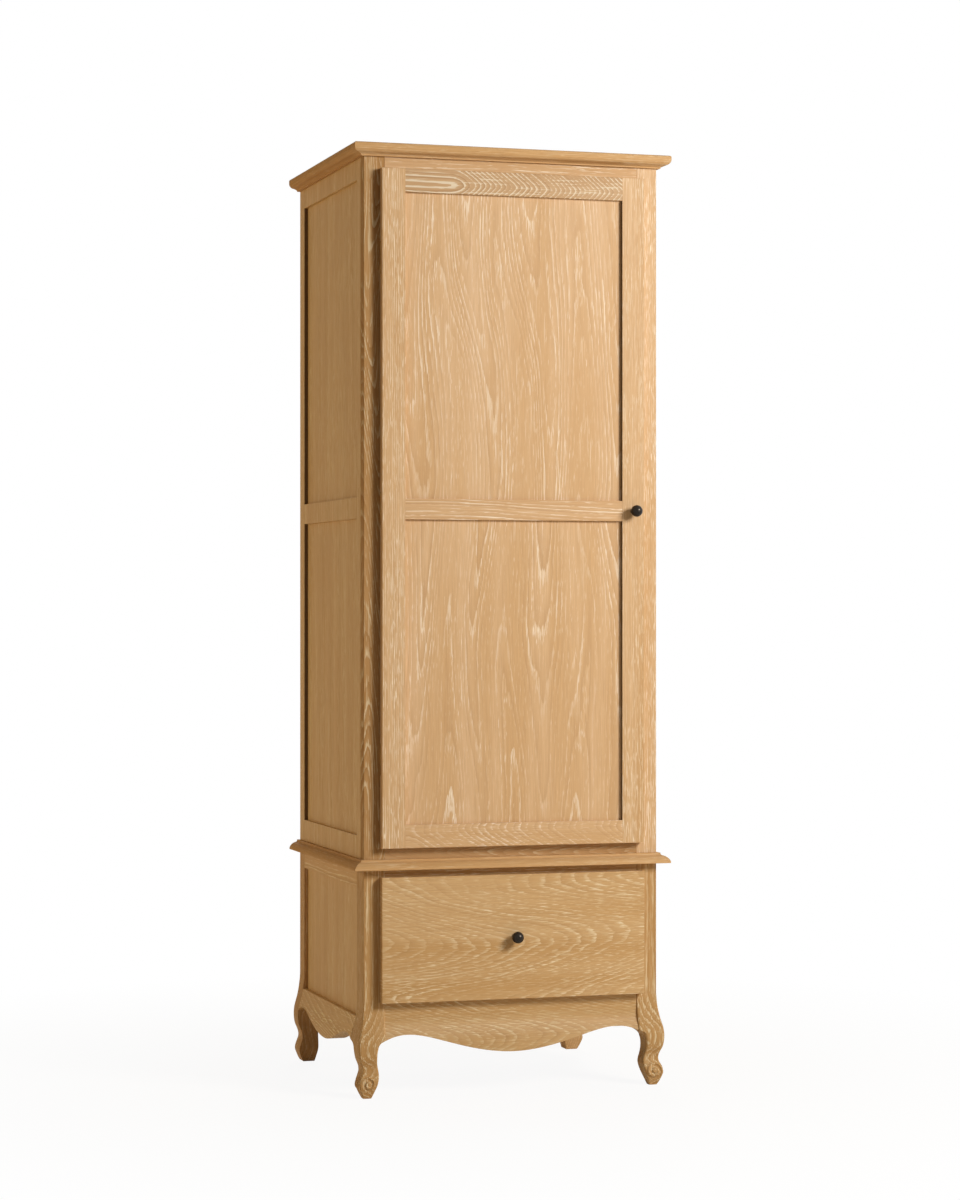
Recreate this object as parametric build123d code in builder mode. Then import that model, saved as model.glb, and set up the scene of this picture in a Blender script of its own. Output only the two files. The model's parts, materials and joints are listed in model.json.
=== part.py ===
from build123d import *
import os
from math import sqrt

# Single-door wardrobe in oak. A framed and panelled cupboard with one door
# stands on a base with one drawer, shaped aprons and swelling front legs.
# Sizes are in millimetres. X runs from left to right as one faces the door,
# the front looks along -Y, the floor is at zero height, and the origin lies
# on the floor in the middle of the whole piece.

os.makedirs("parts", exist_ok=True)

# Whole piece
height = 1950.0
carcass_width = 635.0
carcass_depth = 558.0
overrun = 3.0
fit_gap = 0.15
arris = 1.2

# Cornice round the top, from the top edge downwards
cornice_thickness = 26.0
cornice_overhang = 25.0
cornice_inset = 15.0
cornice_round = 4.0
cornice_band = 5.0
cornice_ovolo_drop = 10.5
cornice_ovolo_inset = 8.0
cornice_cove_drop = 4.5
cornice_cove_sagitta = 0.9
cornice_foot_overhang = 7.0

# Waist moulding between the base and the cupboard, from the top downwards
base_height = 466.5
waist_thickness = 21.0
waist_overhang = 24.2
waist_foot_overhang = 7.0
waist_step = 2.0
waist_cove = 3.2
waist_cove_sagitta = 0.8
waist_ovolo_sagitta = 2.6
waist_band = 3.0

# Face frame of the cupboard and of the drawer opening
stile_width = 44.0
frame_thickness = 27.0
frame_top_rail_height = 35.0
frame_bottom_rail_height = 33.5
base_top_rail_height = 25.5
tenon_length = 14.0
tenon_thickness = 9.0
tenon_shoulder = 5.0

# Side frames
side_thickness = 20.0
side_front_stile_width = 30.0
side_rear_stile_width = 41.0
side_top_rail_height = 41.5
side_mid_rail_height = 43.6
side_mid_rail_rise = 1.85
side_bottom_rail_height = 45.9
base_side_rail_height = 38.9

# Panels, and the grooves that hold them
panel_thickness = 6.0
panel_recess = 8.0
groove_depth = 8.0
panel_play = 0.5
back_panel_thickness = 6.0
rebate_width = 10.0

# Boards and the rail for hangers inside the cupboard
floor_board_thickness = 18.0
floor_housing = 6.0
rail_drop = 59.0
rail_radius = 12.5
rail_wall = 1.5
rail_end_play = 0.5
bearer_height = 60.0
bearer_thickness = 14.0
bearer_lap = 18.0
socket_flange_radius = 24.0
socket_flange = 3.0
socket_radius = 15.5
socket_length = 14.0
running_gap = 0.05

# Base: corner posts, legs and aprons
leg_height = 193.0
post_depth = 57.0
dowel_radius = 10.0
dowel_length = 25.0
knee_swell = 14.5
ankle_width = 32.0
apron_top = 205.0
apron_thickness = 22.0
apron_recess = 1.0
apron_flat_level = 156.0
apron_flare = 13.5
apron_peak_level = 127.8
apron_drop = 42.3
side_apron_top = 161.5
side_apron_peak_level = 124.5
side_apron_drop = 38.5
apron_tenon_level = 132.0
apron_tenon_height = 50.0
apron_tongue_height = 36.0

# Door
overlap = 10.4
door_gap = 1.5
door_thickness = 19.0
door_stile_width = 49.0
door_top_rail_height = 48.0
door_mid_rail_height = 42.4
door_mid_rail_drop = 1.4
door_bottom_rail_height = 48.0

# Butt hinges, let in behind the hinge stile of the door
hinge_length = 64.0
hinge_end_distance = 150.0
knuckle_count = 3
knuckle_radius = 3.0
knuckle_gap = 0.2
pin_radius = 1.5
pin_head_radius = 2.4
pin_head = 1.0
leaf_thickness = 1.8
leaf_width = 22.0
leaf_stand = 1.2
wrap_width = 24.0
swing_gap = 0.4

# Magnetic catch on the frame, and its strike on the door
catch_length = 46.0
catch_width = 14.5
catch_depth = 16.0
catch_distance = 120.0
catch_round = 3.0
catch_gap = 0.3
strike_length = 34.0
strike_width = 12.0
strike_thickness = 1.2

# Knobs
knob_radius = 12.25
knob_stand = 20.0
knob_neck_radius = 4.5
knob_collar_radius = 7.0
knob_collar = 2.0
knob_shank_radius = 2.5
knob_shank = 14.0

# Drawer and its runners
drawer_gap = 0.5
drawer_front_thickness = 19.5
drawer_side_thickness = 14.0
drawer_head_room = 28.0
drawer_lift = 8.0
drawer_rear_room = 72.0
drawer_side_gap = 0.8
drawer_housing = 8.0
drawer_bottom_thickness = 6.0
drawer_bottom_level = 10.0
drawer_bottom_groove = 5.0
drawer_back_drop = 10.0
runner_width = 8.0
runner_height = 20.0
runner_gap = 0.3
runner_front_distance = 4.0
runner_rear_distance = 8.0
runner_back_width = 14.0
runner_back_height = 32.0

# Legs. Each level, as a share of the leg's height, has a swell beyond the
# post's outer faces, as a share of the knee's swell, and a reach inwards from
# those faces, as a share of the ankle's width. The last reach meets the apron.
leg_level_shares = (
    0.0, 0.03, 0.085, 0.13, 0.187, 0.244, 0.285, 0.33,
    0.42, 0.515, 0.61, 0.73, 0.85, 1.0,
)
leg_swell_shares = (
    0.07, 0.30, 0.62, 0.81, 0.71, 0.42, 0.28, 0.34,
    0.81, 1.0, 0.92, 0.50, 0.19, 0.0,
)
leg_reach_shares = (
    0.48, 0.54, 0.66, 0.77, 0.88, 0.95, 0.93, 0.87, 0.80, 0.86,
)
# The rear leg swells sideways only and stays flush behind.
rear_leg_reach_shares = (
    0.75, 0.80, 0.88, 0.94, 0.97, 0.97, 0.97, 0.97, 0.97, 1.02,
)
rear_leg_depth_shares = (
    1.12, 1.20, 1.30, 1.38, 1.40, 1.36, 1.32, 1.27, 1.22, 1.20,
)

# The side aprons swell with the knee, over these rows of the tables.
knee_rows = slice(8, 13)

# Lower edge of an apron, from its middle to its end: how far out, as a share
# of half its length, and how high, as a share of its drop.
apron_out_shares = (0.0, 0.355, 0.565, 0.84, 1.0)
apron_rise_shares = (0.0, 0.307, 0.68, 1.0, 0.757)

# Places that follow from the sizes
half = carcass_width / 2
knob_reach = door_gap + door_thickness + knob_stand + knob_radius
front = (knob_reach - carcass_depth) / 2
back = front + carcass_depth
frame_back = front + frame_thickness
opening_half = half - stile_width
cornice_level = height - cornice_thickness
waist_top = base_height + waist_thickness
opening_bottom = waist_top + frame_bottom_rail_height
opening_top = cornice_level - frame_top_rail_height
drawer_opening_top = base_height - base_top_rail_height
post_back = front + post_depth
side_front_edge = frame_back + side_front_stile_width
side_rear_edge = back - side_rear_stile_width
side_inner = half - side_thickness
panel_outer = half - panel_recess
panel_inner = panel_outer - panel_thickness
tongue_length = groove_depth - fit_gap
panel_hold = groove_depth - panel_play
tenon_front = front + (frame_thickness - tenon_thickness) / 2
tenon_back = tenon_front + tenon_thickness


def rect(a_from, a_to, b_from, b_to):
    """Draw a rectangle between two corners in the sketch at hand."""
    with Locations(((a_from + a_to) / 2, (b_from + b_to) / 2)):
        Rectangle(a_to - a_from, b_to - b_from)


def upright(x_from, x_to, y_from, y_to, z_from, z_to, mode=Mode.ADD):
    """Make a bar that stands up, from its plan."""
    with BuildSketch(Plane.XY.offset(z_from)) as plan:
        rect(x_from, x_to, y_from, y_to)
    extrude(plan.sketch, amount=z_to - z_from, mode=mode)


def across(reach, y_from, y_to, z_from, z_to, mode=Mode.ADD):
    """Make a bar that runs from side to side, from its end view."""
    with BuildSketch(Plane.YZ) as end_view:
        rect(y_from, y_to, z_from, z_to)
    extrude(end_view.sketch, amount=reach, both=True, mode=mode)


def lengthwise(x_from, x_to, y_from, y_to, z_from, z_to, mode=Mode.ADD):
    """Make a bar that runs from front to back, from its end view."""
    with BuildSketch(Plane.XZ.offset(-y_to)) as end_view:
        rect(x_from, x_to, z_from, z_to)
    extrude(end_view.sketch, amount=y_to - y_from, mode=mode)


def save_pair(left, name):
    """Write a left-hand piece, and its mirror image for the right."""
    with BuildPart() as right:
        mirror(left.part, about=Plane.YZ)
    left.part.label = f"{name}_left"
    export_step(left.part, f"parts/{name}_left.step")
    right.part.label = f"{name}_right"
    export_step(right.part, f"parts/{name}_right.step")


# Mouldings. An outline has the outward distance from the carcass first, and
# then the height above the top of the moulding.


def cornice_outline():
    """Draw the cornice: a rounded edge, a band, an ovolo and a flat cove."""
    outer = cornice_overhang
    band_end = -cornice_round - cornice_band
    ovolo_end = (outer - cornice_ovolo_inset, band_end - cornice_ovolo_drop)
    cove_end = (cornice_foot_overhang, ovolo_end[1] - cornice_cove_drop)
    with BuildLine() as outline:
        Line((-cornice_inset, 0), (outer - cornice_round, 0))
        RadiusArc(
            (outer - cornice_round, 0), (outer, -cornice_round), cornice_round
        )
        Line((outer, -cornice_round), (outer, band_end))
        TangentArc((outer, band_end), ovolo_end, tangent=(0, -1))
        SagittaArc(ovolo_end, cove_end, -cornice_cove_sagitta)
        Polyline(
            cove_end,
            (cornice_foot_overhang, -cornice_thickness),
            (-cornice_inset, -cornice_thickness),
            (-cornice_inset, 0),
        )
    make_face(outline.edges())


def waist_outline():
    """Draw the waist moulding: a small step and cove over a broad ovolo."""
    cove_start = (waist_foot_overhang, -waist_step)
    cove_end = (cove_start[0] + waist_cove, cove_start[1] - waist_cove)
    ovolo_end = (waist_overhang, waist_band - waist_thickness)
    with BuildLine() as outline:
        Polyline((-stile_width, 0), (waist_foot_overhang, 0), cove_start)
        SagittaArc(cove_start, cove_end, -waist_cove_sagitta)
        SagittaArc(cove_end, ovolo_end, waist_ovolo_sagitta)
        Polyline(
            ovolo_end,
            (waist_overhang, -waist_thickness),
            (-stile_width, -waist_thickness),
            (-stile_width, 0),
        )
    make_face(outline.edges())


def save_moulding(name, draw_outline, level, overhang):
    """Write a moulding for the front and both sides, mitred in front."""
    front_view = Plane((0, front, level), x_dir=(0, -1, 0), z_dir=(-1, 0, 0))
    side_start = (-half, front - overhang, level)
    side_view = Plane(side_start, x_dir=(-1, 0, 0), z_dir=(0, 1, 0))
    mitre_left = Plane((-half, front, level), z_dir=(1, -1, 0))
    mitre_right = Plane((half, front, level), z_dir=(-1, -1, 0))
    with BuildPart() as front_piece:
        with BuildSketch(front_view):
            draw_outline()
        extrude(amount=half + overhang, both=True)
        split(bisect_by=mitre_left, keep=Keep.TOP)
        split(bisect_by=mitre_right, keep=Keep.TOP)
    with BuildPart() as side_piece:
        with BuildSketch(side_view):
            draw_outline()
        extrude(amount=carcass_depth + overhang)
        split(bisect_by=mitre_left, keep=Keep.BOTTOM)
    front_piece.part.label = f"{name}_front"
    export_step(front_piece.part, f"parts/{name}_front.step")
    save_pair(side_piece, name)


save_moulding("cornice", cornice_outline, height, cornice_overhang)
save_moulding("waist_moulding", waist_outline, waist_top, waist_overhang)

with BuildPart() as top_board:
    across(
        half - cornice_inset, front + cornice_inset, back, cornice_level, height
    )
top_board.part.label = "top_board"
export_step(top_board.part, "parts/top_board.step")


# Hinge places, in plan. The pin stands just inside the rear left corner of
# the door, so that the closed door hides the leaves.
door_half = opening_half + overlap
door_bottom = opening_bottom - overlap
door_top = opening_top + overlap
door_back = front - door_gap
door_front = door_back - door_thickness
hinge_x = knuckle_radius - door_half
hinge_y = door_back - knuckle_radius
plate_start = hinge_x - knuckle_radius + leaf_stand
hinge_bottoms = (
    door_bottom + hinge_end_distance,
    (door_bottom + door_top - hinge_length) / 2,
    door_top - hinge_end_distance - hinge_length,
)
catch_centre = door_top - catch_distance


# Face frame
with BuildPart() as plain_frame_stile:
    upright(-half, -opening_half, front, frame_back, waist_top, cornice_level)
    front_face = plain_frame_stile.faces().sort_by(Axis.Y)[0]
    fillet(front_face.edges().sort_by(Axis.X)[0], arris)
    for rail_from, rail_to in (
        (waist_top, opening_bottom),
        (opening_top, cornice_level),
    ):
        across(
            opening_half + tenon_length,
            tenon_front - fit_gap,
            tenon_back + fit_gap,
            rail_from + tenon_shoulder - fit_gap,
            rail_to - tenon_shoulder + fit_gap,
            mode=Mode.SUBTRACT,
        )

with BuildPart() as front_stile_left:
    add(plain_frame_stile.part)
    for level in hinge_bottoms:
        upright(
            plate_start - fit_gap,
            -opening_half + overrun,
            front - overrun,
            front + leaf_thickness - leaf_stand,
            level - fit_gap,
            level + hinge_length + fit_gap,
            mode=Mode.SUBTRACT,
        )
        upright(
            -opening_half - leaf_thickness,
            -opening_half + overrun,
            front - overrun,
            front + wrap_width + fit_gap,
            level - fit_gap,
            level + hinge_length + fit_gap,
            mode=Mode.SUBTRACT,
        )
front_stile_left.part.label = "front_stile_left"
export_step(front_stile_left.part, "parts/front_stile_left.step")

with BuildPart() as front_stile_right:
    mirror(plain_frame_stile.part, about=Plane.YZ)
front_stile_right.part.label = "front_stile_right"
export_step(front_stile_right.part, "parts/front_stile_right.step")


def frame_rail(z_from, z_to):
    """Make a rail of a face frame, with its two tenons."""
    across(opening_half, front, frame_back, z_from, z_to)
    across(
        opening_half + tenon_length - fit_gap,
        tenon_front,
        tenon_back,
        z_from + tenon_shoulder,
        z_to - tenon_shoulder,
    )


with BuildPart() as frame_top_rail:
    frame_rail(opening_top, cornice_level)
frame_top_rail.part.label = "frame_top_rail"
export_step(frame_top_rail.part, "parts/frame_top_rail.step")

with BuildPart() as frame_bottom_rail:
    frame_rail(waist_top, opening_bottom)
frame_bottom_rail.part.label = "frame_bottom_rail"
export_step(frame_bottom_rail.part, "parts/frame_bottom_rail.step")

with BuildPart() as base_top_rail:
    frame_rail(drawer_opening_top, base_height)
base_top_rail.part.label = "base_top_rail"
export_step(base_top_rail.part, "parts/base_top_rail.step")


# Side frames of the cupboard, left-hand side. The same groove takes the
# panels and the tongues of the rails.


def side_groove(y_from, y_to, z_from, z_to):
    """Cut a panel groove in a piece of a side frame."""
    lengthwise(
        -panel_outer - fit_gap,
        -panel_inner + fit_gap,
        y_from,
        y_to,
        z_from,
        z_to,
        mode=Mode.SUBTRACT,
    )


def floor_seat(y_from, y_to):
    """Cut the housing that carries an edge of the floor board."""
    lengthwise(
        -side_inner - floor_housing,
        -side_inner + overrun,
        y_from,
        y_to,
        opening_bottom - floor_board_thickness,
        opening_bottom,
        mode=Mode.SUBTRACT,
    )


with BuildPart() as side_front_stile:
    upright(
        -half, -side_inner, frame_back, side_front_edge, waist_top, cornice_level
    )
    side_groove(
        side_front_edge - groove_depth,
        side_front_edge + overrun,
        waist_top - overrun,
        cornice_level + overrun,
    )
    floor_seat(frame_back - overrun, side_front_edge + overrun)
save_pair(side_front_stile, "side_front_stile")

with BuildPart() as side_rear_stile:
    upright(-half, -side_inner, side_rear_edge, back, waist_top, cornice_level)
    rear_face = side_rear_stile.faces().sort_by(Axis.Y)[-1]
    fillet(rear_face.edges().sort_by(Axis.X)[0], arris)
    side_groove(
        side_rear_edge - overrun,
        side_rear_edge + groove_depth,
        waist_top - overrun,
        cornice_level + overrun,
    )
    upright(
        -side_inner - rebate_width,
        -side_inner + overrun,
        back - back_panel_thickness,
        back + overrun,
        waist_top - overrun,
        cornice_level + overrun,
        mode=Mode.SUBTRACT,
    )
    floor_seat(side_rear_edge - overrun, back - back_panel_thickness)
save_pair(side_rear_stile, "side_rear_stile")

side_mid_rail_middle = (waist_top + cornice_level) / 2 + side_mid_rail_rise
side_mid_rail_level = side_mid_rail_middle - side_mid_rail_height / 2
side_mid_rail_top = side_mid_rail_level + side_mid_rail_height
side_rail_levels = (
    (waist_top, waist_top + side_bottom_rail_height),
    (side_mid_rail_level, side_mid_rail_top),
    (cornice_level - side_top_rail_height, cornice_level),
)
with BuildPart() as side_rails:
    for rail_from, rail_to in side_rail_levels:
        lengthwise(
            -half, -side_inner, side_front_edge, side_rear_edge, rail_from, rail_to
        )
        lengthwise(
            -panel_outer,
            -panel_inner,
            side_front_edge - tongue_length,
            side_rear_edge + tongue_length,
            rail_from,
            rail_to,
        )
    for groove_from, groove_to in (
        (side_rail_levels[0][1] - groove_depth, side_rail_levels[0][1] + overrun),
        (side_mid_rail_level - overrun, side_mid_rail_level + groove_depth),
        (side_mid_rail_top - groove_depth, side_mid_rail_top + overrun),
        (side_rail_levels[2][0] - overrun, side_rail_levels[2][0] + groove_depth),
    ):
        side_groove(
            side_front_edge - groove_depth,
            side_rear_edge + groove_depth,
            groove_from,
            groove_to,
        )
    floor_seat(side_front_edge - overrun, side_rear_edge + overrun)
save_pair(side_rails, "side_rails")


def side_panel(z_from, z_to):
    """Make a panel that fills a side frame between two levels."""
    lengthwise(
        -panel_outer,
        -panel_inner,
        side_front_edge - panel_hold,
        side_rear_edge + panel_hold,
        z_from - panel_hold,
        z_to + panel_hold,
    )


with BuildPart() as side_upper_panel:
    side_panel(side_mid_rail_top, side_rail_levels[2][0])
save_pair(side_upper_panel, "side_upper_panel")

with BuildPart() as side_lower_panel:
    side_panel(side_rail_levels[0][1], side_mid_rail_level)
save_pair(side_lower_panel, "side_lower_panel")

with BuildPart() as back_panel:
    across(
        side_inner + rebate_width - fit_gap,
        back - back_panel_thickness,
        back,
        waist_top,
        cornice_level,
    )
back_panel.part.label = "back_panel"
export_step(back_panel.part, "parts/back_panel.step")

with BuildPart() as floor_board:
    across(
        side_inner + floor_housing - fit_gap,
        frame_back,
        back - back_panel_thickness,
        opening_bottom - floor_board_thickness,
        opening_bottom,
    )
floor_board.part.label = "floor_board"
export_step(floor_board.part, "parts/floor_board.step")


# Rail for hangers, between two bearers that lie across the side stiles
rail_level = opening_top - rail_drop
rail_y = (frame_back + back - back_panel_thickness) / 2
bearer_inner = side_inner - bearer_thickness
with BuildPart() as rail_bearers:
    lengthwise(
        -side_inner,
        -bearer_inner,
        side_front_edge - bearer_lap,
        side_rear_edge + bearer_lap,
        rail_level - bearer_height / 2,
        rail_level + bearer_height / 2,
    )
    inner_face = rail_bearers.faces().sort_by(Axis.X)[-1]
    chamfer(inner_face.edges(), arris)
    mirror(about=Plane.YZ)
rail_bearers.part.label = "rail_bearers"
export_step(rail_bearers.part, "parts/rail_bearers.step")

with BuildPart() as rail_sockets:
    with BuildSketch(Plane.YZ.offset(-bearer_inner)):
        with Locations((rail_y, rail_level)):
            Circle(socket_flange_radius)
    extrude(amount=socket_flange)
    with BuildSketch(Plane.YZ.offset(-bearer_inner)):
        with Locations((rail_y, rail_level)):
            Circle(socket_radius)
    extrude(amount=socket_length)
    rim = rail_sockets.edges().filter_by(GeomType.CIRCLE)
    chamfer(rim.group_by(SortBy.RADIUS)[-1].sort_by(Axis.X)[-1], arris)
    with BuildSketch(Plane.YZ.offset(socket_flange - bearer_inner)):
        with Locations((rail_y, rail_level)):
            Circle(rail_radius + running_gap)
    extrude(amount=socket_length, mode=Mode.SUBTRACT)
    mirror(about=Plane.YZ)
rail_sockets.part.label = "rail_sockets"
export_step(rail_sockets.part, "parts/rail_sockets.step")

with BuildPart() as hanging_rail:
    with BuildSketch(Plane.YZ):
        with Locations((rail_y, rail_level)):
            Circle(rail_radius)
            Circle(rail_radius - rail_wall, mode=Mode.SUBTRACT)
    extrude(amount=bearer_inner - socket_flange - rail_end_play, both=True)
hanging_rail.part.label = "hanging_rail"
export_step(hanging_rail.part, "parts/hanging_rail.step")


# Base. Corner posts carry the waist moulding, the front ones on separate
# legs, the rear ones down to the floor in one piece.
tongue_bottom = side_apron_top - apron_tongue_height

with BuildPart() as base_post:
    upright(-half, -opening_half, front, post_back, leg_height, base_height)
    front_face = base_post.faces().sort_by(Axis.Y)[0]
    fillet(front_face.edges().sort_by(Axis.X)[0], arris)
    side_groove(
        post_back - groove_depth,
        post_back + overrun,
        leg_height - overrun,
        base_height + overrun,
    )
    across(
        opening_half + tenon_length,
        tenon_front - fit_gap,
        tenon_back + fit_gap,
        drawer_opening_top + tenon_shoulder - fit_gap,
        base_height - tenon_shoulder + fit_gap,
        mode=Mode.SUBTRACT,
    )
    with BuildSketch(Plane.XY.offset(leg_height)):
        with Locations((-(half + opening_half) / 2, (front + post_back) / 2)):
            Circle(dowel_radius + fit_gap)
    extrude(amount=dowel_length + fit_gap, mode=Mode.SUBTRACT)
save_pair(base_post, "base_post")


def leg_profile(outer, inner_shares, inner_end, bracket_level, swell):
    """Draw a leg as seen from one side, with its outer face towards -X."""
    outer_line = [
        (outer - share * swell, level * leg_height)
        for level, share in zip(leg_level_shares, leg_swell_shares)
    ]
    inner_line = [
        (outer + share * ankle_width, level * leg_height)
        for level, share in zip(leg_level_shares, inner_shares)
    ]
    with BuildLine() as outline:
        Spline(*outer_line)
        Spline(*inner_line, (inner_end, bracket_level))
        Polyline((inner_end, bracket_level), (inner_end, leg_height), outer_line[-1])
        Line(outer_line[0], inner_line[0])
    make_face(outline.edges())


apron_end_level = apron_peak_level - (1 - apron_rise_shares[-1]) * apron_drop
side_apron_end_level = (
    side_apron_peak_level - (1 - apron_rise_shares[-1]) * side_apron_drop
)

with BuildPart() as front_leg:
    with BuildSketch(Plane.XZ.offset(-post_back)):
        leg_profile(
            -half, leg_reach_shares, -opening_half, apron_end_level, knee_swell
        )
    extrude(amount=post_depth + knee_swell + overrun)
    with BuildSketch(Plane.YZ.offset(-half - knee_swell - overrun)):
        leg_profile(
            front, leg_reach_shares, post_back, side_apron_end_level, knee_swell
        )
    extrude(
        amount=stile_width + knee_swell + 2 * overrun, mode=Mode.INTERSECT
    )
    with BuildSketch(Plane.XY.offset(leg_height)):
        with Locations((-(half + opening_half) / 2, (front + post_back) / 2)):
            Circle(dowel_radius)
    extrude(amount=dowel_length)
    side_groove(
        post_back - groove_depth,
        post_back + overrun,
        tongue_bottom,
        leg_height,
    )
    across(
        opening_half + tenon_length,
        tenon_front - fit_gap,
        tenon_back + fit_gap,
        apron_tenon_level - fit_gap,
        apron_tenon_level + apron_tenon_height + fit_gap,
        mode=Mode.SUBTRACT,
    )
save_pair(front_leg, "front_leg")

with BuildPart() as rear_post:
    with BuildSketch(Plane.XZ.offset(-back)):
        leg_profile(
            -half, rear_leg_reach_shares, -opening_half, apron_end_level, knee_swell
        )
    extrude(amount=max(rear_leg_depth_shares) * ankle_width + overrun)
    with BuildSketch(Plane((-opening_half, 0, 0), x_dir=(0, -1, 0), z_dir=(-1, 0, 0))):
        leg_profile(
            -back, rear_leg_depth_shares, -side_rear_edge, side_apron_end_level, 0
        )
    extrude(amount=stile_width + knee_swell + overrun, mode=Mode.INTERSECT)
    upright(-half, -opening_half, side_rear_edge, back, leg_height, base_height)
    side_groove(
        side_rear_edge - overrun,
        side_rear_edge + groove_depth,
        tongue_bottom,
        base_height + overrun,
    )
    upright(
        -opening_half - rebate_width,
        -opening_half + overrun,
        back - back_panel_thickness,
        back + overrun,
        side_apron_top,
        base_height + overrun,
        mode=Mode.SUBTRACT,
    )
save_pair(rear_post, "rear_post")


def apron_edge(half_length, drop, peak, low):
    """Draw all that lies below the wavy lower edge of an apron."""
    outs = [share * half_length for share in apron_out_shares]
    rises = [peak - drop + share * drop for share in apron_rise_shares]
    right_side = list(zip(outs, rises))
    left_side = [(-out, rise) for out, rise in right_side[:0:-1]]
    with BuildLine() as edge:
        Spline(*left_side, *right_side)
        Polyline(
            right_side[-1],
            (half_length + overrun, right_side[-1][1]),
            (half_length + overrun, low),
            (-half_length - overrun, low),
            (-half_length - overrun, right_side[-1][1]),
            left_side[0],
        )
    make_face(edge.edges())


with BuildPart() as front_apron:
    flat_face = front + apron_recess
    flare_bottom = apron_peak_level - apron_drop - overrun
    with BuildSketch(Plane.YZ):
        with BuildLine():
            flat = Line((flat_face, apron_top), (flat_face, apron_flat_level))
            flare = Spline(
                flat @ 1,
                (front - apron_flare / 2, apron_peak_level + apron_recess),
                (front - apron_flare, flare_bottom),
                tangents=((0, -1), (0, -1)),
            )
            Polyline(
                flare @ 1,
                (front + apron_thickness, flare_bottom),
                (front + apron_thickness, apron_top),
                flat @ 0,
            )
        make_face()
    extrude(amount=opening_half, both=True)
    with BuildSketch(Plane.XZ.offset(-front - apron_thickness - overrun)):
        apron_edge(
            opening_half, apron_drop, apron_peak_level, flare_bottom - overrun
        )
    extrude(
        amount=apron_thickness + knee_swell + 2 * overrun, mode=Mode.SUBTRACT
    )
    across(
        opening_half + tenon_length - fit_gap,
        tenon_front,
        tenon_back,
        apron_tenon_level,
        apron_tenon_level + apron_tenon_height,
    )
front_apron.part.label = "front_apron"
export_step(front_apron.part, "parts/front_apron.step")

with BuildPart() as side_apron:
    low_edge = side_apron_peak_level - side_apron_drop - overrun
    knee_line = [
        (-half - swell * knee_swell, level * leg_height)
        for level, swell in zip(
            leg_level_shares[knee_rows], leg_swell_shares[knee_rows]
        )
    ]
    with BuildSketch(Plane.XZ.offset(-side_rear_edge)):
        with BuildLine():
            knee = Spline(*knee_line)
            Polyline(
                knee @ 1,
                (-side_inner, knee_line[-1][1]),
                (-side_inner, knee_line[0][1]),
                knee @ 0,
            )
        make_face()
    extrude(amount=side_rear_edge - post_back)
    split(bisect_by=Plane.XY.offset(side_apron_top), keep=Keep.BOTTOM)
    middle = (post_back + side_rear_edge) / 2
    edge_start = (-side_inner + overrun, middle, 0)
    edge_plane = Plane(edge_start, x_dir=(0, -1, 0), z_dir=(-1, 0, 0))
    with BuildSketch(edge_plane):
        apron_edge(
            (side_rear_edge - post_back) / 2,
            side_apron_drop,
            side_apron_peak_level,
            low_edge - overrun,
        )
    extrude(
        amount=side_thickness + knee_swell + 2 * overrun, mode=Mode.SUBTRACT
    )
    lengthwise(
        -panel_outer,
        -panel_inner,
        post_back - tongue_length,
        side_rear_edge + tongue_length,
        tongue_bottom + fit_gap,
        side_apron_top,
    )
    side_groove(
        post_back - groove_depth,
        side_rear_edge + groove_depth,
        side_apron_top - groove_depth,
        side_apron_top + overrun,
    )
save_pair(side_apron, "side_apron")

base_side_rail_level = base_height - base_side_rail_height
with BuildPart() as base_side_rail:
    lengthwise(
        -half,
        -side_inner,
        post_back,
        side_rear_edge,
        base_side_rail_level,
        base_height,
    )
    lengthwise(
        -panel_outer,
        -panel_inner,
        post_back - tongue_length,
        side_rear_edge + tongue_length,
        base_side_rail_level,
        base_height,
    )
    side_groove(
        post_back - groove_depth,
        side_rear_edge + groove_depth,
        base_side_rail_level - overrun,
        base_side_rail_level + groove_depth,
    )
save_pair(base_side_rail, "base_side_rail")

with BuildPart() as base_side_panel:
    lengthwise(
        -panel_outer,
        -panel_inner,
        post_back - panel_hold,
        side_rear_edge + panel_hold,
        side_apron_top - panel_hold,
        base_side_rail_level + panel_hold,
    )
save_pair(base_side_panel, "base_side_panel")

with BuildPart() as base_back_panel:
    across(
        opening_half + rebate_width - fit_gap,
        back - back_panel_thickness,
        back,
        side_apron_top,
        base_height,
    )
base_back_panel.part.label = "base_back_panel"
export_step(base_back_panel.part, "parts/base_back_panel.step")


# Door. Its stiles and rails hold the panels in the same way as the sides.
door_panel_half = door_half - door_stile_width
door_panel_front = door_front + panel_recess
door_panel_back = door_panel_front + panel_thickness
knob_x = door_half - door_stile_width / 2
knob_z = (door_bottom + door_top) / 2 - door_mid_rail_drop


def knob_hole(x, face, z):
    """Drill the hole for the shank of a knob."""
    with BuildSketch(Plane.XZ.offset(-face)) as hole:
        with Locations((x, z)):
            Circle(knob_shank_radius + fit_gap)
    extrude(hole.sketch, amount=-knob_shank - fit_gap, mode=Mode.SUBTRACT)


with BuildPart() as plain_door_stile:
    upright(
        -door_half, -door_panel_half, door_front, door_back, door_bottom, door_top
    )
    front_face = plain_door_stile.faces().sort_by(Axis.Y)[0]
    fillet(front_face.edges().sort_by(Axis.X)[:-1], arris)
    upright(
        -door_panel_half - groove_depth,
        -door_panel_half + overrun,
        door_panel_front - fit_gap,
        door_panel_back + fit_gap,
        door_bottom - overrun,
        door_top + overrun,
        mode=Mode.SUBTRACT,
    )

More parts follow.
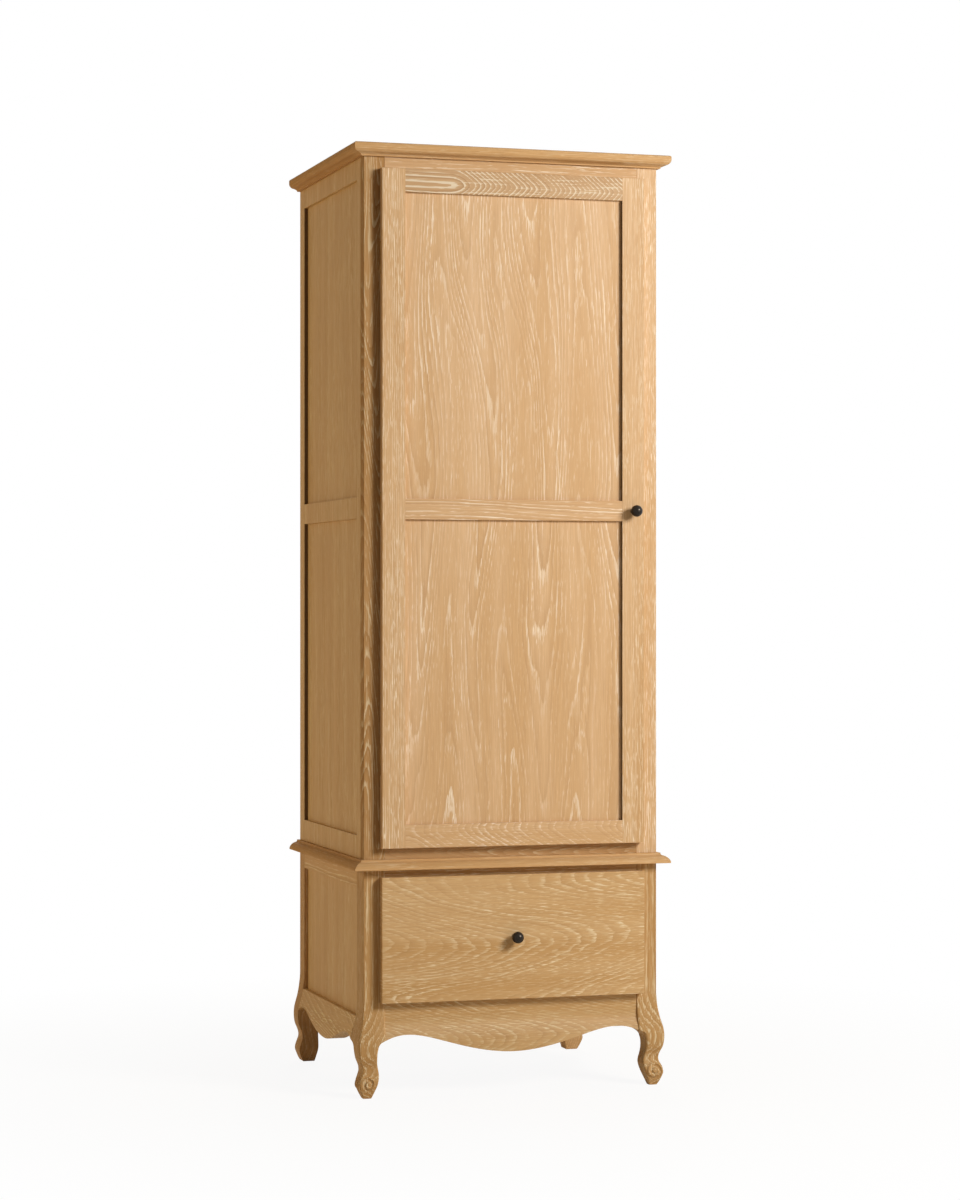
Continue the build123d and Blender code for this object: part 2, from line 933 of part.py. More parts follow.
notch_end = pin_head + swing_gap
with BuildPart() as door_stile_hinge:
    add(plain_door_stile.part)
    for level in hinge_bottoms:
        upright(
            -door_half - overrun,
            hinge_x + knuckle_radius + swing_gap,
            hinge_y - knuckle_radius - swing_gap,
            door_back + overrun,
            level - notch_end,
            level + hinge_length + notch_end,
            mode=Mode.SUBTRACT,
        )
        upright(
            hinge_x,
            hinge_x + leaf_width + fit_gap,
            door_back - leaf_thickness,
            door_back + overrun,
            level - fit_gap,
            level + hinge_length + fit_gap,
            mode=Mode.SUBTRACT,
        )
door_stile_hinge.part.label = "door_stile_hinge"
export_step(door_stile_hinge.part, "parts/door_stile_hinge.step")

strike_x = opening_half - catch_width / 2
with BuildPart() as door_stile_lock:
    mirror(plain_door_stile.part, about=Plane.YZ)
    knob_hole(knob_x, door_front, knob_z)
    with BuildSketch(Plane.XZ.offset(-door_back)):
        with Locations((strike_x, catch_centre)):
            Rectangle(strike_width + fit_gap, strike_length + fit_gap)
    extrude(amount=strike_thickness, mode=Mode.SUBTRACT)
door_stile_lock.part.label = "door_stile_lock"
export_step(door_stile_lock.part, "parts/door_stile_lock.step")


def save_door_rail(name, z_from, z_to, groove_levels, eased):
    """Write a rail of the door, with its tongues, grooves and eased edge."""
    with BuildPart() as rail:
        across(door_panel_half, door_front, door_back, z_from, z_to)
        front_face = rail.faces().sort_by(Axis.Y)[0]
        face_edges = front_face.edges().sort_by(Axis.Z)
        for place in eased:
            fillet(face_edges[place], arris)
        across(
            door_panel_half + tongue_length,
            door_panel_front,
            door_panel_back,
            z_from,
            z_to,
        )
        for groove_from, groove_to in groove_levels:
            across(
                door_panel_half + groove_depth,
                door_panel_front - fit_gap,
                door_panel_back + fit_gap,
                groove_from,
                groove_to,
                mode=Mode.SUBTRACT,
            )
    rail.part.label = name
    export_step(rail.part, f"parts/{name}.step")


door_mid_rail_level = knob_z - door_mid_rail_height / 2
door_mid_rail_top = door_mid_rail_level + door_mid_rail_height
door_top_rail_level = door_top - door_top_rail_height
door_bottom_rail_top = door_bottom + door_bottom_rail_height
above_top = (door_top_rail_level - overrun, door_top_rail_level + groove_depth)
above_mid = (door_mid_rail_top - groove_depth, door_mid_rail_top + overrun)
below_mid = (door_mid_rail_level - overrun, door_mid_rail_level + groove_depth)
below_bottom = (door_bottom_rail_top - groove_depth, door_bottom_rail_top + overrun)
save_door_rail("door_top_rail", door_top_rail_level, door_top, [above_top], [-1])
save_door_rail(
    "door_mid_rail",
    door_mid_rail_level,
    door_mid_rail_top,
    [below_mid, above_mid],
    [],
)
save_door_rail(
    "door_bottom_rail", door_bottom, door_bottom_rail_top, [below_bottom], [0]
)


def door_panel(z_from, z_to):
    """Make a panel that fills the door between two rails."""
    across(
        door_panel_half + panel_hold,
        door_panel_front,
        door_panel_back,
        z_from - panel_hold,
        z_to + panel_hold,
    )


with BuildPart() as door_upper_panel:
    door_panel(door_mid_rail_top, door_top_rail_level)
door_upper_panel.part.label = "door_upper_panel"
export_step(door_upper_panel.part, "parts/door_upper_panel.step")

with BuildPart() as door_lower_panel:
    door_panel(door_bottom_rail_top, door_mid_rail_level)
door_lower_panel.part.label = "door_lower_panel"
export_step(door_lower_panel.part, "parts/door_lower_panel.step")


# Hinges. Knuckles of the two leaves alternate along each pin.
knuckle_pitch = hinge_length / knuckle_count


def knuckle_levels(level, first):
    """List where the knuckles of one leaf start: every second one."""
    return [
        level + index * knuckle_pitch + knuckle_gap / 2
        for index in range(first, knuckle_count, 2)
    ]


def knuckle(bottom):
    """Make one knuckle of a hinge leaf."""
    with BuildSketch(Plane.XY.offset(bottom)) as ring:
        with Locations((hinge_x, hinge_y)):
            Circle(knuckle_radius)
    extrude(ring.sketch, amount=knuckle_pitch - knuckle_gap)


def pin_bore(level):
    """Bore the knuckles of a hinge for its pin."""
    with BuildSketch(Plane.XY.offset(level)) as bore:
        with Locations((hinge_x, hinge_y)):
            Circle(pin_radius + running_gap)
    extrude(bore.sketch, amount=hinge_length, mode=Mode.SUBTRACT)


plate_front = front - leaf_stand
plate_back = plate_front + leaf_thickness
with BuildPart() as hinge_frame_leaves:
    for level in hinge_bottoms:
        for bottom in knuckle_levels(level, 0):
            knuckle(bottom)
            upright(
                plate_start,
                hinge_x + leaf_thickness,
                hinge_y,
                plate_back,
                bottom,
                bottom + knuckle_pitch - knuckle_gap,
            )
        upright(
            plate_start,
            -opening_half,
            plate_front,
            plate_back,
            level,
            level + hinge_length,
        )
        upright(
            -opening_half - leaf_thickness,
            -opening_half,
            plate_front,
            front + wrap_width,
            level,
            level + hinge_length,
        )
        pin_bore(level)
hinge_frame_leaves.part.label = "hinge_frame_leaves"
export_step(hinge_frame_leaves.part, "parts/hinge_frame_leaves.step")

with BuildPart() as hinge_door_leaves:
    for level in hinge_bottoms:
        for bottom in knuckle_levels(level, 1):
            knuckle(bottom)
            upright(
                hinge_x,
                hinge_x + leaf_width,
                door_back - leaf_thickness,
                door_back,
                bottom,
                bottom + knuckle_pitch - knuckle_gap,
            )
        upright(
            hinge_x + knuckle_radius + swing_gap,
            hinge_x + leaf_width,
            door_back - leaf_thickness,
            door_back,
            level,
            level + hinge_length,
        )
        pin_bore(level)
hinge_door_leaves.part.label = "hinge_door_leaves"
export_step(hinge_door_leaves.part, "parts/hinge_door_leaves.step")

with BuildPart() as hinge_pins:
    for level in hinge_bottoms:
        with BuildSketch(Plane.XY.offset(level)):
            with Locations((hinge_x, hinge_y)):
                Circle(pin_radius)
        extrude(amount=hinge_length)
        with BuildSketch(Plane.XY.offset(level + hinge_length)):
            with Locations((hinge_x, hinge_y)):
                Circle(pin_head_radius)
        extrude(amount=pin_head)
hinge_pins.part.label = "hinge_pins"
export_step(hinge_pins.part, "parts/hinge_pins.step")


# Catch, on the edge of the lock-side stile, and its strike on the door
catch_front = door_back + catch_gap
with BuildPart() as door_catch:
    with BuildSketch(Plane.YZ.offset(opening_half - catch_width)):
        with Locations((catch_front + catch_depth / 2, catch_centre)):
            Rectangle(catch_depth, catch_length)
        fillet(vertices(), catch_round)
    extrude(amount=catch_width)
door_catch.part.label = "door_catch"
export_step(door_catch.part, "parts/door_catch.step")

with BuildPart() as catch_strike:
    with BuildSketch(Plane.XZ.offset(-door_back)):
        with Locations((strike_x, catch_centre)):
            Rectangle(strike_width, strike_length)
    extrude(amount=strike_thickness)
catch_strike.part.label = "catch_strike"
export_step(catch_strike.part, "parts/catch_strike.step")


# Knobs: a ball on a short neck, with a shank that goes into the wood


def knob(x, face, z):
    """Turn a knob that stands in front of a face."""
    centre = face - knob_stand
    ball_start = centre + sqrt(knob_radius**2 - knob_neck_radius**2)
    with BuildSketch(Plane.YZ.offset(x)) as profile:
        with BuildLine() as outline:
            Polyline(
                (centre - knob_radius, z),
                (face + knob_shank, z),
                (face + knob_shank, z + knob_shank_radius),
                (face, z + knob_shank_radius),
                (face, z + knob_collar_radius),
                (face - knob_collar, z + knob_collar_radius),
                (face - knob_collar, z + knob_neck_radius),
                (ball_start, z + knob_neck_radius),
            )
            ThreePointArc(
                (ball_start, z + knob_neck_radius),
                (centre, z + knob_radius),
                (centre - knob_radius, z),
            )
        make_face(outline.edges())
    revolve(profile.sketch, axis=Axis((x, face, z), (0, 1, 0)))


with BuildPart() as door_knob:
    knob(knob_x, door_front, knob_z)
door_knob.part.label = "door_knob"
export_step(door_knob.part, "parts/door_knob.step")


# Drawer. Its grooved sides hang on a runner at each side.
drawer_back_face = front - drawer_gap
drawer_face = drawer_back_face - drawer_front_thickness
drawer_low = apron_top - overlap
drawer_high = drawer_opening_top + overlap
drawer_side_outer = opening_half - drawer_side_gap
drawer_side_inner = drawer_side_outer - drawer_side_thickness
drawer_side_bottom = apron_top + drawer_lift
drawer_side_top = drawer_opening_top - drawer_head_room
drawer_side_middle = (drawer_side_bottom + drawer_side_top) / 2
drawer_rear = back - back_panel_thickness - drawer_rear_room
drawer_floor = drawer_side_bottom + drawer_bottom_level
drawer_floor_top = drawer_floor + drawer_bottom_thickness
drawer_knob_z = (drawer_low + drawer_high) / 2
runner_level = drawer_side_middle - runner_height / 2
runner_top = runner_level + runner_height

with BuildPart() as drawer_front:
    across(door_half, drawer_face, drawer_back_face, drawer_low, drawer_high)
    fillet(drawer_front.faces().sort_by(Axis.Y)[0].edges(), arris)
    for side in (-1, 1):
        middle = side * (drawer_side_outer + drawer_side_inner) / 2
        with BuildSketch(Plane.XZ.offset(-drawer_back_face)):
            with Locations((middle, drawer_side_middle)):
                Rectangle(
                    drawer_side_thickness + 2 * fit_gap,
                    drawer_side_top - drawer_side_bottom + 2 * fit_gap,
                )
        extrude(amount=drawer_housing, mode=Mode.SUBTRACT)
    across(
        drawer_side_inner + fit_gap,
        drawer_back_face - drawer_bottom_groove,
        drawer_back_face + overrun,
        drawer_floor - fit_gap,
        drawer_floor_top + fit_gap,
        mode=Mode.SUBTRACT,
    )
    knob_hole(0, drawer_face, drawer_knob_z)
drawer_front.part.label = "drawer_front"
export_step(drawer_front.part, "parts/drawer_front.step")

with BuildPart() as drawer_sides:
    lengthwise(
        -drawer_side_outer,
        -drawer_side_inner,
        drawer_back_face - drawer_housing + fit_gap,
        drawer_rear,
        drawer_side_bottom,
        drawer_side_top,
    )
    lengthwise(
        -drawer_side_outer - overrun,
        -opening_half + runner_width + runner_gap,
        front + runner_front_distance - runner_gap,
        drawer_rear + overrun,
        runner_level - runner_gap,
        runner_top + runner_gap,
        mode=Mode.SUBTRACT,
    )
    lengthwise(
        -drawer_side_inner - drawer_bottom_groove,
        -drawer_side_inner + overrun,
        drawer_back_face - drawer_bottom_groove,
        drawer_rear + overrun,
        drawer_floor - fit_gap,
        drawer_floor_top + fit_gap,
        mode=Mode.SUBTRACT,
    )
    mirror(about=Plane.YZ)
drawer_sides.part.label = "drawer_sides"
export_step(drawer_sides.part, "parts/drawer_sides.step")

with BuildPart() as drawer_back:
    across(
        drawer_side_inner,
        drawer_rear - drawer_side_thickness,
        drawer_rear,
        drawer_floor_top + fit_gap,
        drawer_side_top - drawer_back_drop,
    )
drawer_back.part.label = "drawer_back"
export_step(drawer_back.part, "parts/drawer_back.step")

with BuildPart() as drawer_bottom:
    across(
        drawer_side_inner,
        drawer_back_face - drawer_bottom_groove + fit_gap,
        drawer_rear,
        drawer_floor,
        drawer_floor_top,
    )
    across(
        drawer_side_inner + drawer_bottom_groove - fit_gap,
        drawer_back_face,
        drawer_rear,
        drawer_floor,
        drawer_floor_top,
    )
drawer_bottom.part.label = "drawer_bottom"
export_step(drawer_bottom.part, "parts/drawer_bottom.step")

with BuildPart() as drawer_knob:
    knob(0, drawer_face, drawer_knob_z)
drawer_knob.part.label = "drawer_knob"
export_step(drawer_knob.part, "parts/drawer_knob.step")

with BuildPart() as drawer_runners:
    lengthwise(
        -opening_half,
        -opening_half + runner_width,
        front + runner_front_distance,
        back - back_panel_thickness - runner_rear_distance,
        runner_level,
        runner_top,
    )
    lengthwise(
        -opening_half - runner_back_width,
        -opening_half,
        post_back,
        side_rear_edge,
        runner_level - (runner_back_height - runner_height) / 2,
        runner_top + (runner_back_height - runner_height) / 2,
    )
    mirror(about=Plane.YZ)
drawer_runners.part.label = "drawer_runners"
export_step(drawer_runners.part, "parts/drawer_runners.step")
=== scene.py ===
"""Looks of a single-door wardrobe in limed oak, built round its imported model.

Lengths are in metres in the model's own frame: X to the right as one faces the
door, Y from the door to the back, Z up, with the floor at zero. Grain patterns
and turned outlines are written in millimetres.
"""

import json
import math

import bmesh
import bpy
import numpy as np
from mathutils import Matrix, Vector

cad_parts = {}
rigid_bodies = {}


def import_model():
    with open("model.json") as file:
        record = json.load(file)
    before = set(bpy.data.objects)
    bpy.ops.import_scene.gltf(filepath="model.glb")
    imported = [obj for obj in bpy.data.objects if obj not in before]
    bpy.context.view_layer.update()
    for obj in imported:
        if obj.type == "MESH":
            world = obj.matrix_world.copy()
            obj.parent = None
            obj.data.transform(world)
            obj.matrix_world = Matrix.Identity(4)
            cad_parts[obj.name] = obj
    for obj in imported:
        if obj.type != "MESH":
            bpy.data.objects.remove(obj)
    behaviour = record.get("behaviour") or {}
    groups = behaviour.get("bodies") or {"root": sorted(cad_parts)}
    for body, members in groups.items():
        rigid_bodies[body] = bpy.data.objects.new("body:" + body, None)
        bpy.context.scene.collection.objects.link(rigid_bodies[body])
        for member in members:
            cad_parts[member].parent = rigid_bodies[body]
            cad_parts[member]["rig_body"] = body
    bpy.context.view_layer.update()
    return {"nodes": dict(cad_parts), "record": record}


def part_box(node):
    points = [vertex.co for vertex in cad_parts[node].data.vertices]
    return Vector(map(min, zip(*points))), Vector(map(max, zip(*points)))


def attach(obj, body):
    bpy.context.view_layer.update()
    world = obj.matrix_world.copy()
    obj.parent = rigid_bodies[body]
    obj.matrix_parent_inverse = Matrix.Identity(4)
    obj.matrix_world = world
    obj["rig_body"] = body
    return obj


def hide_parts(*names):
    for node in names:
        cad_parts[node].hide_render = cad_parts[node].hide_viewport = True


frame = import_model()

nodes = frame["nodes"]
slots = {part["node"]: part["material_slot"] for part in frame["record"]["subparts"]}


# Camera, at the place and height from which the photograph was taken
camera_place = (-1.856, -6.132, 1.009)
camera_turn = math.radians(16.9)
horizon_shift = 0.0036
lens = 89.3

camera_data = bpy.data.cameras.new("camera")
camera_data.lens = lens
camera_data.sensor_width = 36.0
camera_data.shift_y = horizon_shift
camera = bpy.data.objects.new("camera", camera_data)
camera.location = camera_place
camera.rotation_euler = (math.pi / 2, 0.0, -camera_turn)
bpy.context.scene.collection.objects.link(camera)
bpy.context.scene.camera = camera
bpy.context.scene.view_settings.view_transform = "Standard"


# Parts that every material is made of

def linear(hex_colour):
    """Turn an sRGB hex colour, such as 'D6AC7C', to linear red, green, blue and alpha."""
    channels = np.array([int(hex_colour[i:i + 2], 16) for i in (0, 2, 4)]) / 255
    low = channels / 12.92
    high = ((channels + 0.055) / 1.055) ** 2.4
    return (*np.where(channels <= 0.04045, low, high), 1.0)


def add(tree, kind, inputs=(), **settings):
    """Add a shader node with its settings and links, and give its outputs.

    Inputs go by their order or by their names. Each is a socket to link from,
    an sRGB hex colour, or the value itself. Those of a MapRange are the value,
    the range it comes in and the range it is stretched to, or else 0 to 1.
    """
    node = tree.nodes.new("ShaderNode" + kind)
    for name, value in settings.items():
        setattr(node, name, value)
    for name, value in inputs.items() if isinstance(inputs, dict) else enumerate(inputs):
        if isinstance(value, bpy.types.NodeSocket):
            tree.links.new(value, node.inputs[name])
        else:
            node.inputs[name].default_value = linear(value) if isinstance(value, str) else value
    return node.outputs


def new_material(name):
    """Make a material without nodes, and give it with its tree."""
    material = bpy.data.materials.new(name)
    material.use_nodes = True
    material.node_tree.nodes.clear()
    return material, material.node_tree


def end_in_surface(tree, looks, relief, strength, depth):
    """End a material in a surface with these looks and a relief of this depth in metres."""
    bumps = add(tree, "Bump", {"Strength": strength, "Distance": depth, "Height": relief})
    shader = add(tree, "BsdfPrincipled", looks | {"Normal": bumps["Normal"]})
    add(tree, "OutputMaterial", {"Surface": shader["BSDF"]})


def millimetres(tree, rotation=(0.0, 0.0, 0.0)):
    """Give the object's own coordinates in millimetres, turned by a rotation."""
    return add(tree, "Mapping", {
        "Vector": add(tree, "TexCoord")["Object"],
        "Rotation": rotation,
        "Scale": (1000.0, 1000.0, 1000.0),
    })["Vector"]


# Shift of a noise for each unit of its seed
seed_shift = (3.17, 1.31, 7.73)


def streaks(tree, place, sizes, seed, detail=1.0):
    """Noise with one feature per given size, in millimetres, along each axis."""
    scaled = add(tree, "Mapping", {
        "Vector": place,
        "Location": tuple(seed * shift for shift in seed_shift),
        "Scale": tuple(1 / size for size in sizes),
    })["Vector"]
    return add(tree, "TexNoise", {"Vector": scaled, "Scale": 1.0, "Detail": detail})["Fac"]


# Limed oak

WAX = "F1DFC4"
OAK_LIGHT = "D9B489"
OAK = "CDA473"
OAK_DARK = "A87C4B"
# Dark brown painted on recess walls as their shade
RECESS_SHADE = "4A331C"

# Rotation that lays a board's grain, along X, Y or Z, along Z
grain_turns = {
    "z": (0.0, 0.0, 0.0),
    "x": (0.0, -math.pi / 2, 0.0),
    "y": (math.pi / 2, 0.0, 0.0),
}

# Noises of the wood: their sizes, twice across and once along the grain, in
# millimetres, their step from the board's seed, and their detail. Pores are
# 0.3 mm wide in real oak, which is too fine to show, so they are drawn 1.1 mm
# wide.
wood_noises = {
    "lean": ((240.0, 240.0, 520.0), 5, 0.0),
    "wobble": ((14.0, 14.0, 120.0), 11, 2.0),
    "pores": ((1.1, 1.1, 24.0), 23, 1.0),
    "vessels": ((2.3, 2.3, 80.0), 37, 1.0),
    "patches": ((45.0, 45.0, 260.0), 41, 1.0),
    "fibres": ((0.9, 0.9, 70.0), 53, 2.0),
    "bands": ((40.0, 40.0, 900.0), 61, 1.0),
}

# How open the pores are along one growth ring, as stops of (place, share), and
# from the least to the most vigorous ring
ring_stops = ((0.0, 0.7), (0.06, 1.0), (0.2, 0.8), (0.4, 0.15), (0.94, 0.0), (1.0, 0.6))
vigour_openness = (0.0, 1.0, 0.35, 1.1)

# Wax in both kinds of opening: the level that their noise has to pass, what
# evenness takes off it, how much open wood lowers it, how far beyond it the wax
# is full, and how full that is
openings = {
    "pores": (0.67, 0.08, 0.25, 0.1, 1.0),
    "vessels": (0.67, 0.0, 0.23, 0.14, 0.8),
}
even_hold = 0.13
patch_wax = (0.35, 0.65, 0.4, 1.2)

# Late wood by its place in the ring, fibres and bands by their noise, and painted
# shade in a recess by the way that a wall looks
late_wood = (0.5, 0.97)
late_darkness = 0.35
even_lightness = 0.2
fibre_darkness = (0.35, 0.75, 0.0, 0.4)
band_lightness = (0.3, 0.7)
shade_facing = (-0.9, -0.6, 0.85, 0.0)

# Roughness of the lacquer and of the wax, with what dullness adds to each, the
# lacquer's gloss, the height of fibres against the depth of wax, and the length
# over which a ripple sets in
lacquer_roughness, dull_lacquer = 0.5, 0.3
wax_roughness, dull_wax = 0.65, 0.2
lacquer_gloss = 0.25
fibre_relief = 0.5
ripple_onset = 30.0

# What a board has where its own figure says nothing else. Lengths are in
# millimetres, and sway and wobble in ring widths. The sway's sizes are across
# and along the grain.
plain_figure = {
    "pith": (-900.0, -700.0), "leaf": None, "ring": 4.5, "taper": 0.0, "ripple": None,
    "sway": 3.0, "sway_size": (60.0, 400.0), "wobble": 0.8,
    "even": 0.0, "wax_share": 0.85, "tint": "FFFFFF", "dull": 0.0, "wall": None,
}


def wood_noise(tree, place, seed, kind):
    """Give one of the wood's noises, as a board's seed has it."""
    sizes, step, detail = wood_noises[kind]
    return streaks(tree, place, sizes, seed + step, detail)


def ring_count(tree, place, seed, figure):
    """Give the number of growth rings up to each place of a board.

    Rings are tubes round a pith that lies beside the board at (X, Y). With a
    leaf of (width, centre, rise, wander), they are sheets that rise and fall
    across the board as a cosine of that width, by that share of it. This shows
    as the pointed leaves of flat-sawn oak, whose middle wanders to both sides.
    The number is that distance, plus a ripple of (start, slope) beyond a place
    along the grain, plus a taper along the grain, plus slow noise and small
    noise in ring widths, all over the ring's width.
    """
    axes = add(tree, "SeparateXYZ", (place,))
    if figure["leaf"] is None:
        from_pith = add(tree, "VectorMath", (place, (*figure["pith"], 0.0)), operation="SUBTRACT")[0]
        across = add(tree, "VectorMath", (from_pith, (1.0, 1.0, 0.0)), operation="MULTIPLY")[0]
        distance = add(tree, "VectorMath", (across,), operation="LENGTH")["Value"]
    else:
        width, centre, rise, wander = figure["leaf"]
        lean = wood_noise(tree, place, seed, "lean")
        across = add(tree, "Math", (axes["X"], centre + wander / 2), operation="SUBTRACT")[0]
        across = add(tree, "Math", (lean, wander, across), operation="MULTIPLY_ADD")[0]
        turn = add(tree, "Math", (across, 2 * math.pi / width), operation="MULTIPLY")[0]
        wave = add(tree, "Math", (turn,), operation="COSINE")[0]
        distance = add(tree, "Math", (wave, rise * width), operation="MULTIPLY")[0]
    if figure["ripple"] is not None:
        start, slope = figure["ripple"]
        past = add(tree, "Math", (axes["Z"], start), operation="SUBTRACT")[0]
        past = add(tree, "Math", (past, 0.0, ripple_onset), operation="SMOOTH_MAX")[0]
        distance = add(tree, "Math", (past, slope, distance), operation="MULTIPLY_ADD")[0]
    sway_across, sway_along = figure["sway_size"]
    slow = streaks(tree, place, (sway_across, sway_across, sway_along), seed)
    small = wood_noise(tree, place, seed, "wobble")
    ring = figure["ring"]
    for value, factor in (
        (axes["Z"], figure["taper"]),
        (slow, figure["sway"] * ring),
        (small, figure["wobble"] * ring),
    ):
        distance = add(tree, "Math", (value, factor, distance), operation="MULTIPLY_ADD")[0]
    return add(tree, "Math", (distance, ring), operation="DIVIDE")[0]


def wax_cover(tree, place, seed, phase, vigour, figure):
    """Give how far wax covers each place of a board, from none to all.

    Early wood, at the start of each ring, has the open pores and the long
    vessels that take the wax, more so in a vigorous ring, so it shows as rows of
    pale dashes. Wax shows where their noise passes a level that open wood pulls
    down. The more even a board is, the less it pulls, so that pores spread over
    the whole ring.
    """
    early = add(tree, "ValToRGB", (phase,))["Color"]
    stops = early.node.color_ramp.elements
    while len(stops) < len(ring_stops):
        stops.new(0.5)
    for stop, (at, level) in zip(stops, ring_stops):
        stop.position = at
        stop.color = (level, level, level, 1.0)
    strength = add(tree, "MapRange", (vigour, *vigour_openness))[0]
    openness = add(tree, "Math", (early, strength), operation="MULTIPLY")[0]
    even = figure["even"]
    covers = []
    for kind, (level, spread, pull, soft, most) in openings.items():
        noise = wood_noise(tree, place, seed, kind)
        cut = (openness, even_hold * even - pull, level - spread * even)
        least = add(tree, "Math", cut, operation="MULTIPLY_ADD")[0]
        past = add(tree, "Math", (noise, least), operation="SUBTRACT")[0]
        covers.append(add(tree, "MapRange", (past, 0.0, soft, 0.0, most))[0])
    cover = add(tree, "Math", covers, operation="MAXIMUM")[0]
    patches = wood_noise(tree, place, seed, "patches")
    kept = add(tree, "MapRange", (patches, *patch_wax))[0]
    cover = add(tree, "Math", (cover, kept), operation="MULTIPLY")[0]
    return add(tree, "Math", (cover, figure["wax_share"]), operation="MULTIPLY", use_clamp=True)[0]


def limed_oak(name, grain, seed, figure):
    """Planed oak with white wax in its open pores, under a satin lacquer.

    Late wood, at the end of each ring, is dense and darker, fibres are fine dark
    lines, and broad bands are lighter. The wax lies a little deeper than the wood
    and is duller than the lacquer. The duller a board is, the less lacquer it has.
    A wall that looks along minus X or Y into a frame is painted darker, as shade in that recess.
    """
    figure = plain_figure | figure
    material, tree = new_material(name)
    place = millimetres(tree, grain_turns[grain])
    rings = ring_count(tree, place, seed, figure)
    phase = add(tree, "Math", (rings,), operation="FRACT")[0]
    number = add(tree, "Math", (rings,), operation="FLOOR")[0]
    vigour = add(tree, "TexWhiteNoise", {"W": number}, noise_dimensions="1D")["Value"]
    wax = wax_cover(tree, place, seed, phase, vigour, figure)
    fibres = wood_noise(tree, place, seed, "fibres")
    bands = wood_noise(tree, place, seed, "bands")

    late = add(tree, "MapRange", (phase, *late_wood))[0]
    late = add(tree, "Math", (late, vigour), operation="MULTIPLY")[0]
    darkness = late_darkness - even_lightness * figure["even"]
    darker = add(tree, "MapRange", (fibres, *fibre_darkness))[0]
    darker = add(tree, "Math", (late, darkness, darker), operation="MULTIPLY_ADD")[0]
    lighter = add(tree, "MapRange", (bands, *band_lightness))[0]
    colour = add(tree, "MixRGB", (lighter, OAK, OAK_LIGHT))[0]
    colour = add(tree, "MixRGB", (darker, colour, OAK_DARK))[0]
    colour = add(tree, "MixRGB", (wax, colour, WAX))[0]
    colour = add(tree, "MixRGB", (1.0, colour, figure["tint"]), blend_type="MULTIPLY")[0]
    # Painted shade: walls that look along minus X or Y into a frame turn dark brown
    if figure["wall"] is not None:
        facing = add(tree, "SeparateXYZ", (add(tree, "TexCoord")["Normal"],))[figure["wall"]]
        painted_shade = add(tree, "MapRange", (facing, *shade_facing))[0]
        colour = add(tree, "MixRGB", (painted_shade, colour, RECESS_SHADE))[0]

    dull = figure["dull"]
    bare, waxed = lacquer_roughness + dull_lacquer * dull, wax_roughness + dull_wax * dull
    sunk = add(tree, "Math", (wax, -1.0), operation="MULTIPLY")[0]
    relief = add(tree, "Math", (fibres, fibre_relief, sunk), operation="MULTIPLY_ADD")[0]
    end_in_surface(tree, {
        "Base Color": colour,
        "Roughness": add(tree, "MapRange", (wax, 0.0, 1.0, bare, waxed))[0],
        "Specular IOR Level": lacquer_gloss * (1 - dull),
    }, relief, strength=0.3, depth=0.0002)
    return material


# Figure of the boards that have one of their own. All the others are straight
# grained. The sides and the base are tinted darker and yellower than the front:
# painted shade for the sides that face away from the key, and for the light that
# falls off lower down.
BASE_SHADED_TINT = "E9E5D0"
SIDE_SHADED_TINT = "FDFBDE"
plain_side = {"ring": 3.6, "even": -0.3, "wax_share": 0.9, "tint": SIDE_SHADED_TINT, "dull": 0.35}
panel_leaf = {
    "leaf": (150.0, 0.0, 0.13, 130.0), "ring": 5.8, "taper": -0.03, "sway": 3.2, "wax_share": 0.66,
}
dashes = {"ring": 3.2, "sway": 2.0, "even": 0.2, "wax_share": 1.05, "tint": "FAF7F0"}
# The curls' darker tint is mostly painted shade from the door beside the stile
curls = {
    "leaf": (74.0, 0.0, 0.15, 80.0), "ring": 4.2, "taper": 0.09, "sway": 4.0,
    "even": -0.4, "wax_share": 1.5, "tint": "DBD0BB", "dull": 0.8,
}
carved = {"sway": 1.2, "even": 0.1, "wax_share": 1.3, "dull": 0.6}
